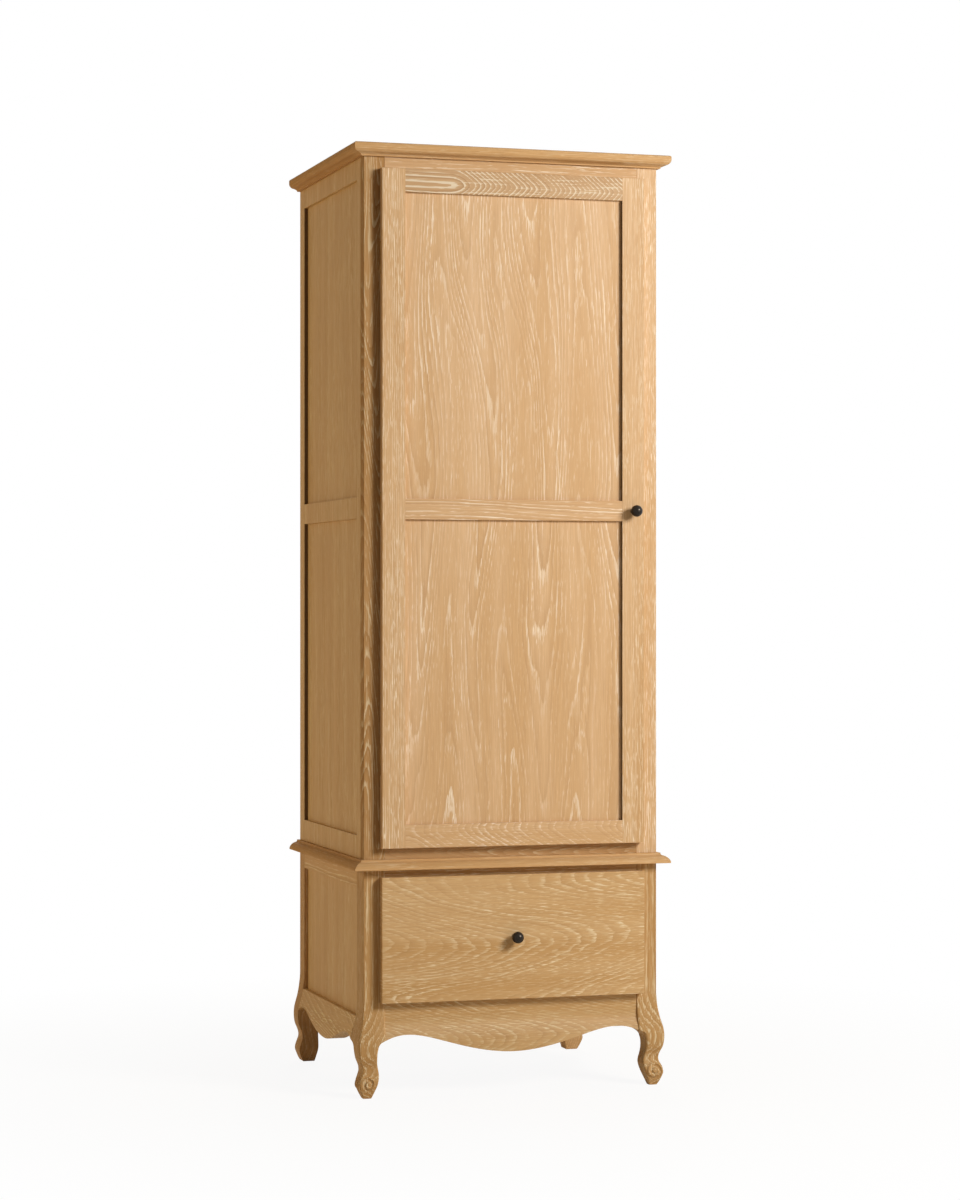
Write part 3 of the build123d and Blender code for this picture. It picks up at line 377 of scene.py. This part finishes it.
# The right leg and post are tinted a little darker than the left: painted shade
carved_left = carved | {"pith": (-420.0, 110.0), "tint": "E8E1CC"}
carved_right = carved | {"pith": (420.0, 110.0), "tint": "E3DCC7"}
figures = {
    "door_upper_panel": panel_leaf,
    "door_lower_panel": panel_leaf,
    "door_stile_hinge": dashes,
    # The lock stile's wall beside the panel gets painted shade
    "door_stile_lock": dashes | {"even": 0.6, "wax_share": 0.75, "tint": "F8F5EE", "wall": "X"},
    "door_top_rail": {
        "pith": (-1868.0, -266.0), "ripple": (-120.0, 0.8), "ring": 8.6, "sway": 1.6,
        "wobble": 0.5, "even": -1.2, "wax_share": 3.2, "tint": "E6E2DA",
    },
    "door_mid_rail": {
        "pith": (-2500.0, -700.0), "taper": -0.03, "ring": 7.0, "sway": 4.0,
        "sway_size": (50.0, 230.0), "even": -0.5, "wax_share": 1.2, "tint": "F8F4EE",
    },
    "door_bottom_rail": {
        "pith": (-548.0, -262.0), "ripple": (-220.0, -0.6), "ring": 9.0, "sway": 1.6,
        "even": 0.4, "wax_share": 0.7,
    },
    "frame_top_rail": {
        "pith": (-2200.0, -500.0), "ring": 7.0, "sway": 4.0, "sway_size": (60.0, 260.0),
        "tint": "F8F5EC",
    },
    # Its darker tint is painted shade from the door above it
    "frame_bottom_rail": {
        "leaf": (64.0, -499.0, 0.25, 30.0), "ring": 7.0, "taper": 0.2, "wax_share": 0.7,
        "tint": "DBCFB8",
    },
    "front_stile_left": curls,
    "front_stile_right": {"ring": 4.0, "even": 0.9, "tint": "FBFCFC", "dull": 0.2},
    "drawer_front": {
        "leaf": (250.0, -321.0, 0.12, 70.0), "taper": -0.15, "ring": 5.2, "sway": 2.2,
        "wobble": 1.0, "even": 0.6, "wax_share": 0.95, "tint": "F1EDDB",
    },
    "front_apron": {
        "leaf": (190.0, -112.0, 0.13, 34.0), "ring": 5.0, "taper": -0.2, "sway": 1.8,
        "wobble": 1.0, "even": 0.4, "wax_share": 0.8, "tint": BASE_SHADED_TINT,
    },
    # The rear stile's wall beside the panel gets painted shade
    "side_rear_stile_left": plain_side | {"wall": "Y"},
    "top_board": {"wax_share": 0.6, "dull": 0.95},
    "base_post_left": carved_left,
    "base_post_right": carved_right,
    "front_leg_left": carved_left,
    "front_leg_right": carved_right,
}
side_apron = {"ring": 5.0, "taper": 0.1, "wax_share": 1.1, "tint": SIDE_SHADED_TINT, "dull": 0.35}
# The rear posts and the base's other boards are tinted darker, as painted shade
plain_base = {"tint": "F1EDDF", "dull": 0.6}
moulding = {"ring": 3.6, "even": 0.5, "wax_share": 0.45, "tint": "F6EFE0", "dull": 0.8}
unlimed = {"wax_share": 0.08, "tint": "FFF9EE", "dull": 1.0}
plywood = {
    "leaf": (150.0, 0.0, 0.15, 165.0), "ring": 9.0, "taper": -0.05,
    "wax_share": 0.1, "tint": "FFF7EC", "dull": 1.0,
}

# Start of each oak's material name, by its slot
oak_kinds = {"limed_oak": "limed_oak_", "plain_oak": "planed_oak_", "oak_plywood": "oak_veneer_"}

# Legs that are cut from the same timber as the post above them
same_timber = {"front_leg_left": "base_post_left", "front_leg_right": "base_post_right"}

# Seed of the first board by name, and the step from each board to the next
first_seed = 1.0
seed_step = 1.7


def board_figure(name):
    """Choose the figure of a board by its name and its slot."""
    if name in figures:
        return figures[name]
    if slots[name] == "oak_plywood":
        return plywood
    if slots[name] == "plain_oak":
        return unlimed
    if name.startswith("side_apron"):
        return side_apron
    if name.startswith(("side_", "base_side_")):
        return plain_side
    if name.startswith(("base_", "rear_")):
        return plain_base
    if name.startswith(("cornice_", "waist_")):
        return moulding
    return plain_figure


def board_material(name):
    """Make the wood of one board, with its grain along its longest side."""
    seed = first_seed + seed_step * sorted(nodes).index(same_timber.get(name, name))
    low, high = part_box(name)
    size = high - low
    grain = "z" if "panel" in name else "xyz"[max(range(3), key=lambda axis: size[axis])]
    return limed_oak(oak_kinds[slots[name]] + name, grain, seed, board_figure(name))


# Metals and plastic

def blackened_iron():
    """Cast and turned iron, blackened and waxed: nearly black, with a soft sheen and slight pits."""
    material, tree = new_material("blackened_iron")
    place = millimetres(tree)
    cloud = streaks(tree, place, (5.0, 5.0, 5.0), seed=3.0, detail=3.0)
    grit = streaks(tree, place, (0.5, 0.5, 0.5), seed=9.0, detail=2.0)
    browner = add(tree, "MapRange", (cloud, 0.35, 0.7))[0]
    end_in_surface(tree, {
        "Base Color": add(tree, "MixRGB", (browner, "0E0B08", "1B1612"))[0],
        "Roughness": add(tree, "MapRange", (cloud, 0.3, 0.7, 0.26, 0.32))[0],
        "Specular IOR Level": 0.3,
        "Specular Tint": "FFEBD6",
    }, grit, strength=0.4, depth=0.0001)
    return material


def aged_brass():
    """Rolled brass, brushed along its length and gone brown in patches."""
    material, tree = new_material("aged_brass")
    place = millimetres(tree)
    patch = streaks(tree, place, (9.0, 9.0, 14.0), seed=5.0, detail=3.0)
    brushed = streaks(tree, place, (0.35, 0.35, 30.0), seed=7.0, detail=2.0)
    browner = add(tree, "MapRange", (patch, 0.35, 0.7))[0]
    end_in_surface(tree, {
        "Base Color": add(tree, "MixRGB", (browner, "C09A5B", "8A6636"))[0],
        "Metallic": 1.0,
        "Roughness": add(tree, "MapRange", (brushed, 0.3, 0.7, 0.26, 0.42))[0],
    }, brushed, strength=0.3, depth=0.00005)
    return material


def chromed_steel():
    """Drawn steel tube with bright chrome, which keeps faint lines along its length."""
    material, tree = new_material("chromed_steel")
    place = millimetres(tree)
    drawn = streaks(tree, place, (160.0, 0.6, 0.6), seed=2.0, detail=2.0)
    haze = streaks(tree, place, (30.0, 12.0, 12.0), seed=4.0, detail=3.0)
    end_in_surface(tree, {
        "Base Color": "D9DADB",
        "Metallic": 1.0,
        "Roughness": add(tree, "MapRange", (haze, 0.35, 0.7, 0.08, 0.2))[0],
    }, drawn, strength=0.15, depth=0.00003)
    return material


def zinc_plate():
    """Steel with bright zinc, whose crystals show as a dull patchwork."""
    crystal_size = 2.0
    material, tree = new_material("zinc_plated_steel")
    place = millimetres(tree)
    crystals = add(tree, "TexVoronoi", {"Vector": place, "Scale": 1 / crystal_size})["Color"]
    grey = add(tree, "RGBToBW", (crystals,))["Val"]
    shader = add(tree, "BsdfPrincipled", {
        "Base Color": add(tree, "MixRGB", (grey, "A9ABAA", "C6C7C5"))[0],
        "Metallic": 1.0,
        "Roughness": add(tree, "MapRange", (grey, 0.0, 1.0, 0.3, 0.45))[0],
    })
    add(tree, "OutputMaterial", {"Surface": shader["BSDF"]})
    return material


def moulded_plastic():
    """Brown ABS from a fine-sparked mould, which leaves a dull, even grit."""
    material, tree = new_material("moulded_abs")
    place = millimetres(tree)
    grit = streaks(tree, place, (0.4, 0.4, 0.4), seed=6.0, detail=2.0)
    cloud = streaks(tree, place, (12.0, 12.0, 12.0), seed=8.0, detail=2.0)
    end_in_surface(tree, {
        "Base Color": add(tree, "MixRGB", (cloud, "5B3D26", "6B4A30"))[0],
        "Roughness": add(tree, "MapRange", (grit, 0.3, 0.7, 0.42, 0.55))[0],
    }, grit, strength=0.3, depth=0.00005)
    return material


metals = {
    "dark_iron": blackened_iron(),
    "hinge_metal": aged_brass(),
    "rail_metal": chromed_steel(),
    "strike_steel": zinc_plate(),
    "catch_plastic": moulded_plastic(),
}


def paint(piece, material):
    """Give a piece its only material."""
    piece.data.materials.clear()
    piece.data.materials.append(material)


# Shapes

def place_piece(name, mesh, body, material):
    """Put a mesh in the scene as a piece that moves with a body."""
    piece = bpy.data.objects.new(name, mesh)
    bpy.context.scene.collection.objects.link(piece)
    paint(piece, material)
    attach(piece, body)
    return piece


# Eased edges: how much comes off, the shortest edge and the least turn that are
# eased, and the room that an edge needs on both sides
ease = 0.0005
shortest_eased = 0.012
least_eased_turn = math.radians(40)
room_for_ease = 3 * ease
leg_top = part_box("base_post_left")[0].z

# Gap up to which points are one, turn up to which triangles lie in one face,
# and turns from which an edge shows as sharp
board_gap, round_gap = 1e-6, 1e-7
flat_turn = math.radians(0.5)
board_crease, round_crease = math.radians(50), math.radians(42)


def room_beside(edge, face):
    """Give how far a face reaches from the line of one of its edges."""
    start, end = (vertex.co for vertex in edge.verts)
    along = (end - start).normalized()
    return max((vertex.co - start).cross(along).length for vertex in face.verts)


def eased(name, material):
    """Stand a copy of a board in for it, with its long sharp edges eased.

    The copy's triangles are merged to whole faces. Each edge that is longer than
    the limit, turns outwards by more than the least turn and has room on both
    sides gets a narrow round. The joint of a post with its leg stays tight. The
    copy leaves out the model's own normals, which no longer fit it.
    """
    mesh = nodes[name].data.copy()
    mesh.name = name + "_board"
    mesh.attributes.remove(mesh.attributes["custom_normal"])
    shape = bmesh.new()
    shape.from_mesh(mesh)
    bmesh.ops.remove_doubles(shape, verts=shape.verts, dist=board_gap)
    bmesh.ops.dissolve_limit(shape, angle_limit=flat_turn, verts=shape.verts, edges=shape.edges)
    sharp = [
        edge for edge in shape.edges
        if len(edge.link_faces) == 2
        and edge.calc_length() > shortest_eased
        and edge.calc_face_angle_signed() > least_eased_turn
        and all(room_beside(edge, face) > room_for_ease for face in edge.link_faces)
        and not all(abs(vertex.co.z - leg_top) < ease for vertex in edge.verts)
    ]
    bmesh.ops.bevel(
        shape, geom=sharp, offset=ease, segments=2, profile=0.5, affect="EDGES", clamp_overlap=False
    )
    for edge in shape.edges:
        edge.smooth = edge.calc_face_angle() < board_crease
    shape.to_mesh(mesh)
    shape.free()
    mesh.shade_smooth()
    piece = place_piece(name + "_board", mesh, nodes[name]["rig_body"], material)
    piece.modifiers.new("flat_faces", "WEIGHTED_NORMAL").keep_sharp = True
    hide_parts(name)


def surface(name, points):
    """Make a mesh of grids of points, each closed round its second parameter.

    A row that shrinks to one point becomes a pole, and all faces turn outwards.
    """
    rows, steps = points.shape[-3:-1]
    grids = points.reshape(-1, rows, steps, 3)
    corner = np.arange(grids[..., 0].size).reshape(-1, rows, steps)
    beside = np.roll(corner, -1, axis=2)
    faces = np.stack([corner[:, :-1], beside[:, :-1], beside[:, 1:], corner[:, 1:]], axis=-1)
    mesh = bpy.data.meshes.new(name)
    mesh.from_pydata(grids.reshape(-1, 3), [], faces.reshape(-1, 4))
    shape = bmesh.new()
    shape.from_mesh(mesh)
    bmesh.ops.remove_doubles(shape, verts=shape.verts, dist=round_gap)
    bmesh.ops.recalc_face_normals(shape, faces=shape.faces)
    shape.to_mesh(mesh)
    shape.free()
    mesh.shade_smooth()
    mesh.set_sharp_from_angle(angle=round_crease)
    return mesh


def turned(profile, steps):
    """A form turned on a lathe: rows of (radius, height) in millimetres, carried round Z."""
    radius, height = np.array(profile).T / 1000
    angle = np.linspace(0, 2 * math.pi, steps, endpoint=False)
    return np.stack([
        np.outer(radius, np.cos(angle)),
        np.outer(radius, np.sin(angle)),
        np.outer(height, np.ones(steps)),
    ], axis=-1)


# A direction that no knob or screw takes, and the turn from each copy to the next
off_axis = (0.3, 0.5, 0.8)
turn_step = 1.1


def aimed(form, places, direction):
    """Copies of a form at several places, its Z axis along a direction, each turned further."""
    along = np.array(direction, float)
    first = np.cross(along, off_axis)
    first = first / np.linalg.norm(first)
    second = np.cross(along, first)
    turn = turn_step * np.arange(len(places))[:, None]
    across = np.cos(turn) * first + np.sin(turn) * second
    beside = np.cross(along, across)
    basis = np.stack([across, beside, np.broadcast_to(along, across.shape)], axis=1)
    return np.einsum("rsk,nkj->nrsj", form, basis) + np.array(places)[:, None, None, :]


def smooth_line(at, levels, values):
    """Cubic pieces through the points (level, value), each with its neighbours' slope."""
    levels, values = np.array(levels), np.array(values)
    slopes = np.gradient(values, levels)
    first = np.clip(np.searchsorted(levels, at) - 1, 0, len(levels) - 2)
    span = levels[first + 1] - levels[first]
    part = (at - levels[first]) / span
    return (
        (2 * part**3 - 3 * part**2 + 1) * values[first]
        + (part**3 - 2 * part**2 + part) * span * slopes[first]
        + (3 * part**2 - 2 * part**3) * values[first + 1]
        + (part**3 - part**2) * span * slopes[first + 1]
    )


# Front legs

# They are sawn from two sides, rounded at the corners and carved with a scroll
# on each show face of the foot. Levels are shares of the leg's height, swells
# are shares of the knee's, and reaches are shares of the ankle's width.
knee_swell = 0.0145
ankle_width = 0.032
leg_levels = (0, 0.03, 0.085, 0.13, 0.187, 0.244, 0.285, 0.33, 0.42, 0.515, 0.61, 0.73, 0.85, 1)
leg_swells = (0.07, 0.30, 0.62, 0.81, 0.71, 0.42, 0.28, 0.34, 0.81, 1, 0.92, 0.50, 0.19, 0)
ankle_reaches = (0.50, 0.57, 0.70, 0.81, 0.92, 0.98, 0.96, 0.90, 0.83, 0.88)
front_bracket = ((0.56, 0.585, 0.609), (0.96, 1.09, 1.375))
side_bracket = ((0.55, 0.575, 0.596), (0.98, 1.24, 1.781))
corner_levels = (0, 0.1, 0.2, 0.33, 0.5, 0.75, 1)
corner_rounds = (0.0022, 0.0036, 0.0042, 0.004, 0.006, 0.004, 0.0012)
most_hidden_round = 0.002

# Rows of points over ranges of levels, closer at the scroll and at the bracket,
# points in a corner's round, and points along the front, inner, rear and outer
# side
leg_rows = ((0, 1, 90), (0.06, 0.26, 64), (0.5, 0.62, 30))
corner_points = 9
side_points = (56, 20, 20, 56)

# A scroll has the level of its middle, its reach on the left and on the right
# leg, the height of its ridge and the share of it that lifts the whole carving,
# its pitch as a share of the reach, the eye's radius and its blend into the
# spiral as shares of the pitch, and the width over which the rim fades
scroll_level = 0.0305
scroll_reaches = {-1: 0.0152, 1: 0.0186}
scroll_height = 0.0018
scroll_lift = 0.55
scroll_pitch = 0.7
eye_radius = 0.21
eye_blend = 0.3
rim_fade = 0.0035

# The carving runs this share of a corner's round into it, and ends over this width
carved_round = 0.25
carving_edge = 0.0003


def leg_reach(levels, bracket):
    """Inward reach of the leg at each level: the ankle's, then out to the bracket, then even."""
    bracket_levels, bracket_reaches = bracket
    reach_levels = leg_levels[:len(ankle_reaches)] + bracket_levels
    held = np.minimum(levels, reach_levels[-1])
    return ankle_width * smooth_line(held, reach_levels, ankle_reaches + bracket_reaches)


def scroll(across, up, reach):
    """Height of the carved scroll at a place measured from its middle.

    A spiral ridge: the cosine of the turns that lie between the radius over the
    pitch and the angle. It starts from a round eye and fades out at its reach.
    """
    radius = np.hypot(across, up)
    pitches = radius / (scroll_pitch * reach)
    turns = pitches - np.arctan2(up, across) / (2 * math.pi)
    out_of_eye = np.clip((pitches - eye_radius) / eye_blend, 0, 1)
    ridge = np.cos(2 * math.pi * turns) * out_of_eye + (1 - out_of_eye)
    fade = np.clip((reach - radius) / rim_fade, 0, 1)
    fade = fade * fade * (3 - 2 * fade)
    return scroll_height * fade * (scroll_lift + ridge)


def carved_leg(name, hand):
    """Make a front leg: a loft of rounded rectangles from the floor up to the post.

    At each level the four sides stand where the two sawn outlines put them. The
    loop of points runs round the section: a quarter circle at each corner, and
    an even division of each side between them. Hand is -1 for the left leg.
    """
    post_low, post_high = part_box("base_post_left")
    levels = np.unique(np.concatenate([np.linspace(*rows) for rows in leg_rows]))[:, None]
    swell = knee_swell * smooth_line(levels, leg_levels, leg_swells)
    left = post_low.x - swell
    right = np.minimum(post_low.x + leg_reach(levels, front_bracket), post_high.x)
    near = post_low.y - swell
    far = np.minimum(post_low.y + leg_reach(levels, side_bracket), post_high.y)
    show_round = smooth_line(levels, corner_levels, corner_rounds)
    hidden_round = np.minimum(show_round, most_hidden_round)
    up = levels * post_low.z

    quarter = np.linspace(0, math.pi / 2, corner_points)[None, :]
    arcs = []
    for x, y, radius, inward_x, inward_y, start in (
        (left, near, show_round, 1, 1, math.pi),
        (right, near, show_round, -1, 1, 1.5 * math.pi),
        (right, far, hidden_round, -1, -1, 0.0),
        (left, far, hidden_round, 1, -1, 0.5 * math.pi),
    ):
        arcs.append(np.stack([
            x + inward_x * radius + radius * np.cos(start + quarter),
            y + inward_y * radius + radius * np.sin(start + quarter),
        ], axis=-1))
    loop = []
    for arc, following, count in zip(arcs, arcs[1:] + arcs[:1], side_points):
        loop.append(arc)
        between = np.linspace(0, 1, count + 2)[None, 1:-1, None]
        loop.append(arc[:, -1:] + between * (following[:, :1] - arc[:, -1:]))
    plan = np.concatenate(loop, axis=1)
    x, y = plan[..., 0], plan[..., 1]
    height = np.broadcast_to(up, x.shape)

    middle = np.argmin(np.abs(up - scroll_level))
    centre_x = (left[middle] + right[middle]) / 2
    centre_y = (near[middle] + far[middle]) / 2
    on_front = np.clip((near + carved_round * show_round - y) / carving_edge + 1, 0, 1)
    on_side = np.clip((left + carved_round * show_round - x) / carving_edge + 1, 0, 1)
    y = y - on_front * scroll(x - centre_x, height - scroll_level, scroll_reaches[hand])
    x = x - on_side * scroll(y - centre_y, height - scroll_level, scroll_reaches[hand])
    wall = np.stack([x, y, height], axis=-1)
    ends = wall[[0, -1]].mean(axis=1, keepdims=True) * np.ones(wall[[0, -1]].shape)
    points = np.concatenate([ends[:1], wall, ends[1:]])
    points[..., 0] *= -hand
    return surface(name, points)


# Knobs

# A ball on a coved neck that spreads to a small foot, as rows of (radius,
# height) in millimetres. The ball goes round as far as the neck.
knob_ball = 12.25
knob_stand = 20.0
ball_end = math.radians(158)
ball_angles = np.linspace(0, ball_end, 40)
knob_profile = [
    (knob_ball * math.sin(angle), knob_stand + knob_ball * math.cos(angle)) for angle in ball_angles
] + [
    (4.35, 7.9), (4.25, 6.6), (4.35, 5.3), (4.75, 4.1), (5.4, 3.2), (6.2, 2.6), (6.8, 2.2),
    (7.0, 1.7), (7.0, 0.3), (6.9, 0.0), (0.0, 0.0),
]
knob_steps = 72


def knob(name, board):
    """Make the knob that stands on a board, in the middle of the model's knob."""
    low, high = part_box(name)
    place = ((low.x + high.x) / 2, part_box(board)[0].y, (low.z + high.z) / 2)
    mesh = surface(name, aimed(turned(knob_profile, knob_steps), [place], (0, -1, 0)))
    piece = place_piece(
        name + "_turned", mesh, nodes[name]["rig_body"], metals["dark_iron"]
    )
    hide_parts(name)


# Screws

# They have a cross recess. In shares of the head's radius, they are a low dome
# out to the rim, and a hollow whose reach is that of its core, plus that of its
# arms times the cube of the cosine of twice the angle.
screw_steps = 32
dome_rows = np.append(np.linspace(0, 0.62, 12), (0.75, 0.88, 0.97, 1.0))
dome_height = 0.08
rim_depth = 0.12
core_reach = 0.16
arm_reach = 0.44
recess_wall = 0.12
recess_depth = 0.34


def screw_head(radius):
    """Head of a countersunk screw, with its upper face just proud of the work."""
    rows = np.append(dome_rows, (1.0, 0.0))
    heights = np.append(dome_height * (1 - dome_rows ** 2), (-rim_depth, -rim_depth))
    form = turned(np.stack([rows * radius, heights * radius], axis=1), screw_steps)
    angle = np.linspace(0, 2 * math.pi, screw_steps, endpoint=False)
    reach = core_reach + arm_reach * np.abs(np.cos(2 * angle)) ** 3
    sunk = np.clip((reach - dome_rows[:, None]) / recess_wall, 0, 1)
    form[:len(dome_rows), :, 2] -= recess_depth * radius / 1000 * sunk
    return form


def screws(name, body, slot, radius, places, direction):
    """Set screws of one size, in millimetres, at several places, facing one way."""
    points = aimed(screw_head(radius), places, direction)
    place_piece(name, surface(name, points), body, metals[slot])


# Dress every node
for name in sorted(nodes):
    slot = slots[name]
    if slot in oak_kinds:
        wood = board_material(name)
        if name.startswith("front_leg"):
            hand = -1 if name.endswith("left") else 1
            leg = place_piece(name + "_carved", carved_leg(name, hand), "carcass", wood)
            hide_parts(name)
        else:
            eased(name, wood)
    elif name.endswith("_knob"):
        knob(name, "door_stile_lock" if name.startswith("door") else "drawer_front")
    else:
        paint(nodes[name], metals[slot])

# Hinges have three screws in each leaf, on the wall of the opening and on the
# back of the door, each row this far from the edge of its leaf
hinge_length = 0.064
hinge_screw_steps = (-0.023, 0.0, 0.023)
hinge_screw_radius = 3.2
frame_row_inset = 0.011
door_row_inset = 0.009
leaf_low, leaf_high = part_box("hinge_frame_leaves")
door_leaf_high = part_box("hinge_door_leaves")[1]
opening_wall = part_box("base_post_left")[1].x
hinge_middles = (
    leaf_low.z + hinge_length / 2, (leaf_low.z + leaf_high.z) / 2, leaf_high.z - hinge_length / 2
)
screw_levels = [middle + step for middle in hinge_middles for step in hinge_screw_steps]
frame_row = leaf_high.y - frame_row_inset
door_row = door_leaf_high.x - door_row_inset
screws("hinge_screws_frame", "carcass", "hinge_metal", hinge_screw_radius,
       [(opening_wall, frame_row, level) for level in screw_levels], (1, 0, 0))
screws("hinge_screws_door", "door", "hinge_metal", hinge_screw_radius,
       [(door_row, door_leaf_high.y, level) for level in screw_levels], (0, 1, 0))

# The catch and the strike have two screws each, this far from their ends
catch_screw_radius, catch_screw_inset = 2.6, 0.009
strike_screw_radius, strike_screw_inset = 2.2, 0.006
catch_low, catch_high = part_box("door_catch")
strike_low, strike_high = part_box("catch_strike")
catch_y = (catch_low.y + catch_high.y) / 2
strike_x = (strike_low.x + strike_high.x) / 2
catch_levels = (catch_low.z + catch_screw_inset, catch_high.z - catch_screw_inset)
strike_levels = (strike_low.z + strike_screw_inset, strike_high.z - strike_screw_inset)
screws("catch_screws", "carcass", "strike_steel", catch_screw_radius,
       [(catch_low.x, catch_y, level) for level in catch_levels], (-1, 0, 0))
screws("strike_screws", "door", "strike_steel", strike_screw_radius,
       [(strike_x, strike_high.y, level) for level in strike_levels], (0, 1, 0))

# Each socket of the rail has three screws on a circle, one of them at the top
socket_turns = np.array([0.5, 7 / 6, 11 / 6]) * math.pi
socket_screw_radius = 2.2
socket_screw_circle = 0.0195
flange_depth = 0.003
socket_low, socket_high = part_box("rail_sockets")
socket_y, socket_z = (socket_low.y + socket_high.y) / 2, (socket_low.z + socket_high.z) / 2
flange_face = socket_high.x - flange_depth
for side, hand_name in ((-1, "left"), (1, "right")):
    places = [
        (
            side * flange_face,
            socket_y + socket_screw_circle * math.cos(turn),
            socket_z + socket_screw_circle * math.sin(turn),
        )
        for turn in socket_turns
    ]
    screws(f"socket_screws_{hand_name}", "carcass", "rail_metal", socket_screw_radius,
           places, (-side, 0, 0))

# Both back panels have a row of screws along each upright edge, from this far
# over the lower end to this far under the upper one
panel_screw_radius = 3.0
panel_edge_inset = 0.0055
panel_end_inset = 0.03
for name, rows in (("back_panel", 9), ("base_back_panel", 3)):
    low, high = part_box(name)
    places = [
        (x, high.y, z)
        for x in (low.x + panel_edge_inset, high.x - panel_edge_inset)
        for z in np.linspace(low.z + panel_end_inset, high.z - panel_end_inset, rows)
    ]
    screws(name + "_screws", "carcass", "strike_steel", panel_screw_radius, places, (0, 1, 0))

# Rail that closes the back at the waist, between the ends of the mouldings
rail_depth = 0.018
rail_seed = 9.0
waist_low, waist_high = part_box("waist_moulding_left")
rail_size = (-2 * waist_high.x, rail_depth, waist_high.z - waist_low.z)
rail_middle = (0, waist_high.y - rail_depth / 2, (waist_low.z + waist_high.z) / 2)
rail_shape = bmesh.new()
bmesh.ops.create_cube(rail_shape, size=1.0)
bmesh.ops.scale(rail_shape, vec=rail_size, verts=rail_shape.verts)
bmesh.ops.translate(rail_shape, vec=rail_middle, verts=rail_shape.verts)
rail_mesh = bpy.data.meshes.new("waist_back_rail")
rail_shape.to_mesh(rail_mesh)
rail_shape.free()
rail_wood = limed_oak("planed_oak_back_rail", "x", rail_seed, unlimed)
place_piece("waist_back_rail", rail_mesh, "carcass", rail_wood)


# Studio

# It has a soft key from the upper right, a weaker and warmer fill from the left,
# a lamp for the back, little light all round, and a floor that is nearly white
# by the wardrobe and fully white further off.
stage_reach = 40.0
floor_mesh = bpy.data.meshes.new("floor")
floor_mesh.from_pydata(
    [(-stage_reach, -stage_reach, 0), (stage_reach, -stage_reach, 0),
     (stage_reach, stage_reach, 0), (-stage_reach, stage_reach, 0)],
    [], [(0, 1, 2, 3)],
)
floor = bpy.data.objects.new("floor", floor_mesh)
bpy.context.scene.collection.objects.link(floor)


def seen_rays(tree):
    """Tell the rays by which a picture, a reflection or a pane shows a surface."""
    rays = add(tree, "LightPath")
    seen = add(tree, "Math", (rays["Is Camera Ray"], rays["Is Glossy Ray"]), operation="MAXIMUM")[0]
    return add(tree, "Math", (seen, rays["Is Transmission Ray"]), operation="MAXIMUM")[0]


# Matt floor that shines white where it is seen, by 0.92 of its look up to 0.5 m
# from the middle, and wholly from 1.8 m on
floor_whiteness = (0.5, 1.8, 0.92, 1.0)
floor_material, tree = new_material("studio_floor")
matt = add(tree, "BsdfPrincipled", {"Base Color": "EFE4D2", "Roughness": 0.9})["BSDF"]
glow = add(tree, "Emission", {"Color": "FFFFFF"})["Emission"]
reach = add(tree, "VectorMath", (add(tree, "TexCoord")["Object"],), operation="LENGTH")["Value"]
whiteness = add(tree, "MapRange", (reach, *floor_whiteness))[0]
white_share = add(tree, "Math", (whiteness, seen_rays(tree)), operation="MULTIPLY")[0]
floor_look = add(tree, "MixShader", (white_share, matt, glow))[0]
add(tree, "OutputMaterial", {"Surface": floor_look})
floor_mesh.materials.append(floor_material)

world = bpy.data.worlds.new("studio")
bpy.context.scene.world = world
world.use_nodes = True
tree = world.node_tree
tree.nodes.clear()
ambient = add(tree, "Background", {"Color": "FFF2DE", "Strength": 0.085})[0]
backdrop = add(tree, "Background", {"Color": "FFFFFF"})[0]
world_look = add(tree, "MixShader", (seen_rays(tree), ambient, backdrop))[0]
add(tree, "OutputWorld", {"Surface": world_look})


def lamp(name, place, target, diameter, power, colour):
    """Hang a round soft lamp at a place, aimed at a target."""
    data = bpy.data.lights.new(name, "AREA")
    data.shape = "DISK"
    data.size = diameter
    data.energy = power
    data.color = linear(colour)[:3]
    light = bpy.data.objects.new(name, data)
    aim = np.array(target) - np.array(place)
    light.location = place
    light.rotation_euler = (
        math.acos(-aim[2] / np.linalg.norm(aim)), 0.0, math.atan2(aim[1], aim[0]) - math.pi / 2
    )
    bpy.context.scene.collection.objects.link(light)


lamp("key", (2.22, -3.05, 2.42), (0.0, 0.0, 1.0), diameter=1.5, power=154.0, colour="FFFFFF")
lamp("fill", (-3.6, 0.9, 1.4), (-0.3, 0.5, 1.2), diameter=2.2, power=31.0, colour="FFDDA6")
lamp("back", (1.3, 4.2, 2.3), (0.0, 0.3, 1.0), diameter=2.4, power=70.0, colour="FFFFFF")
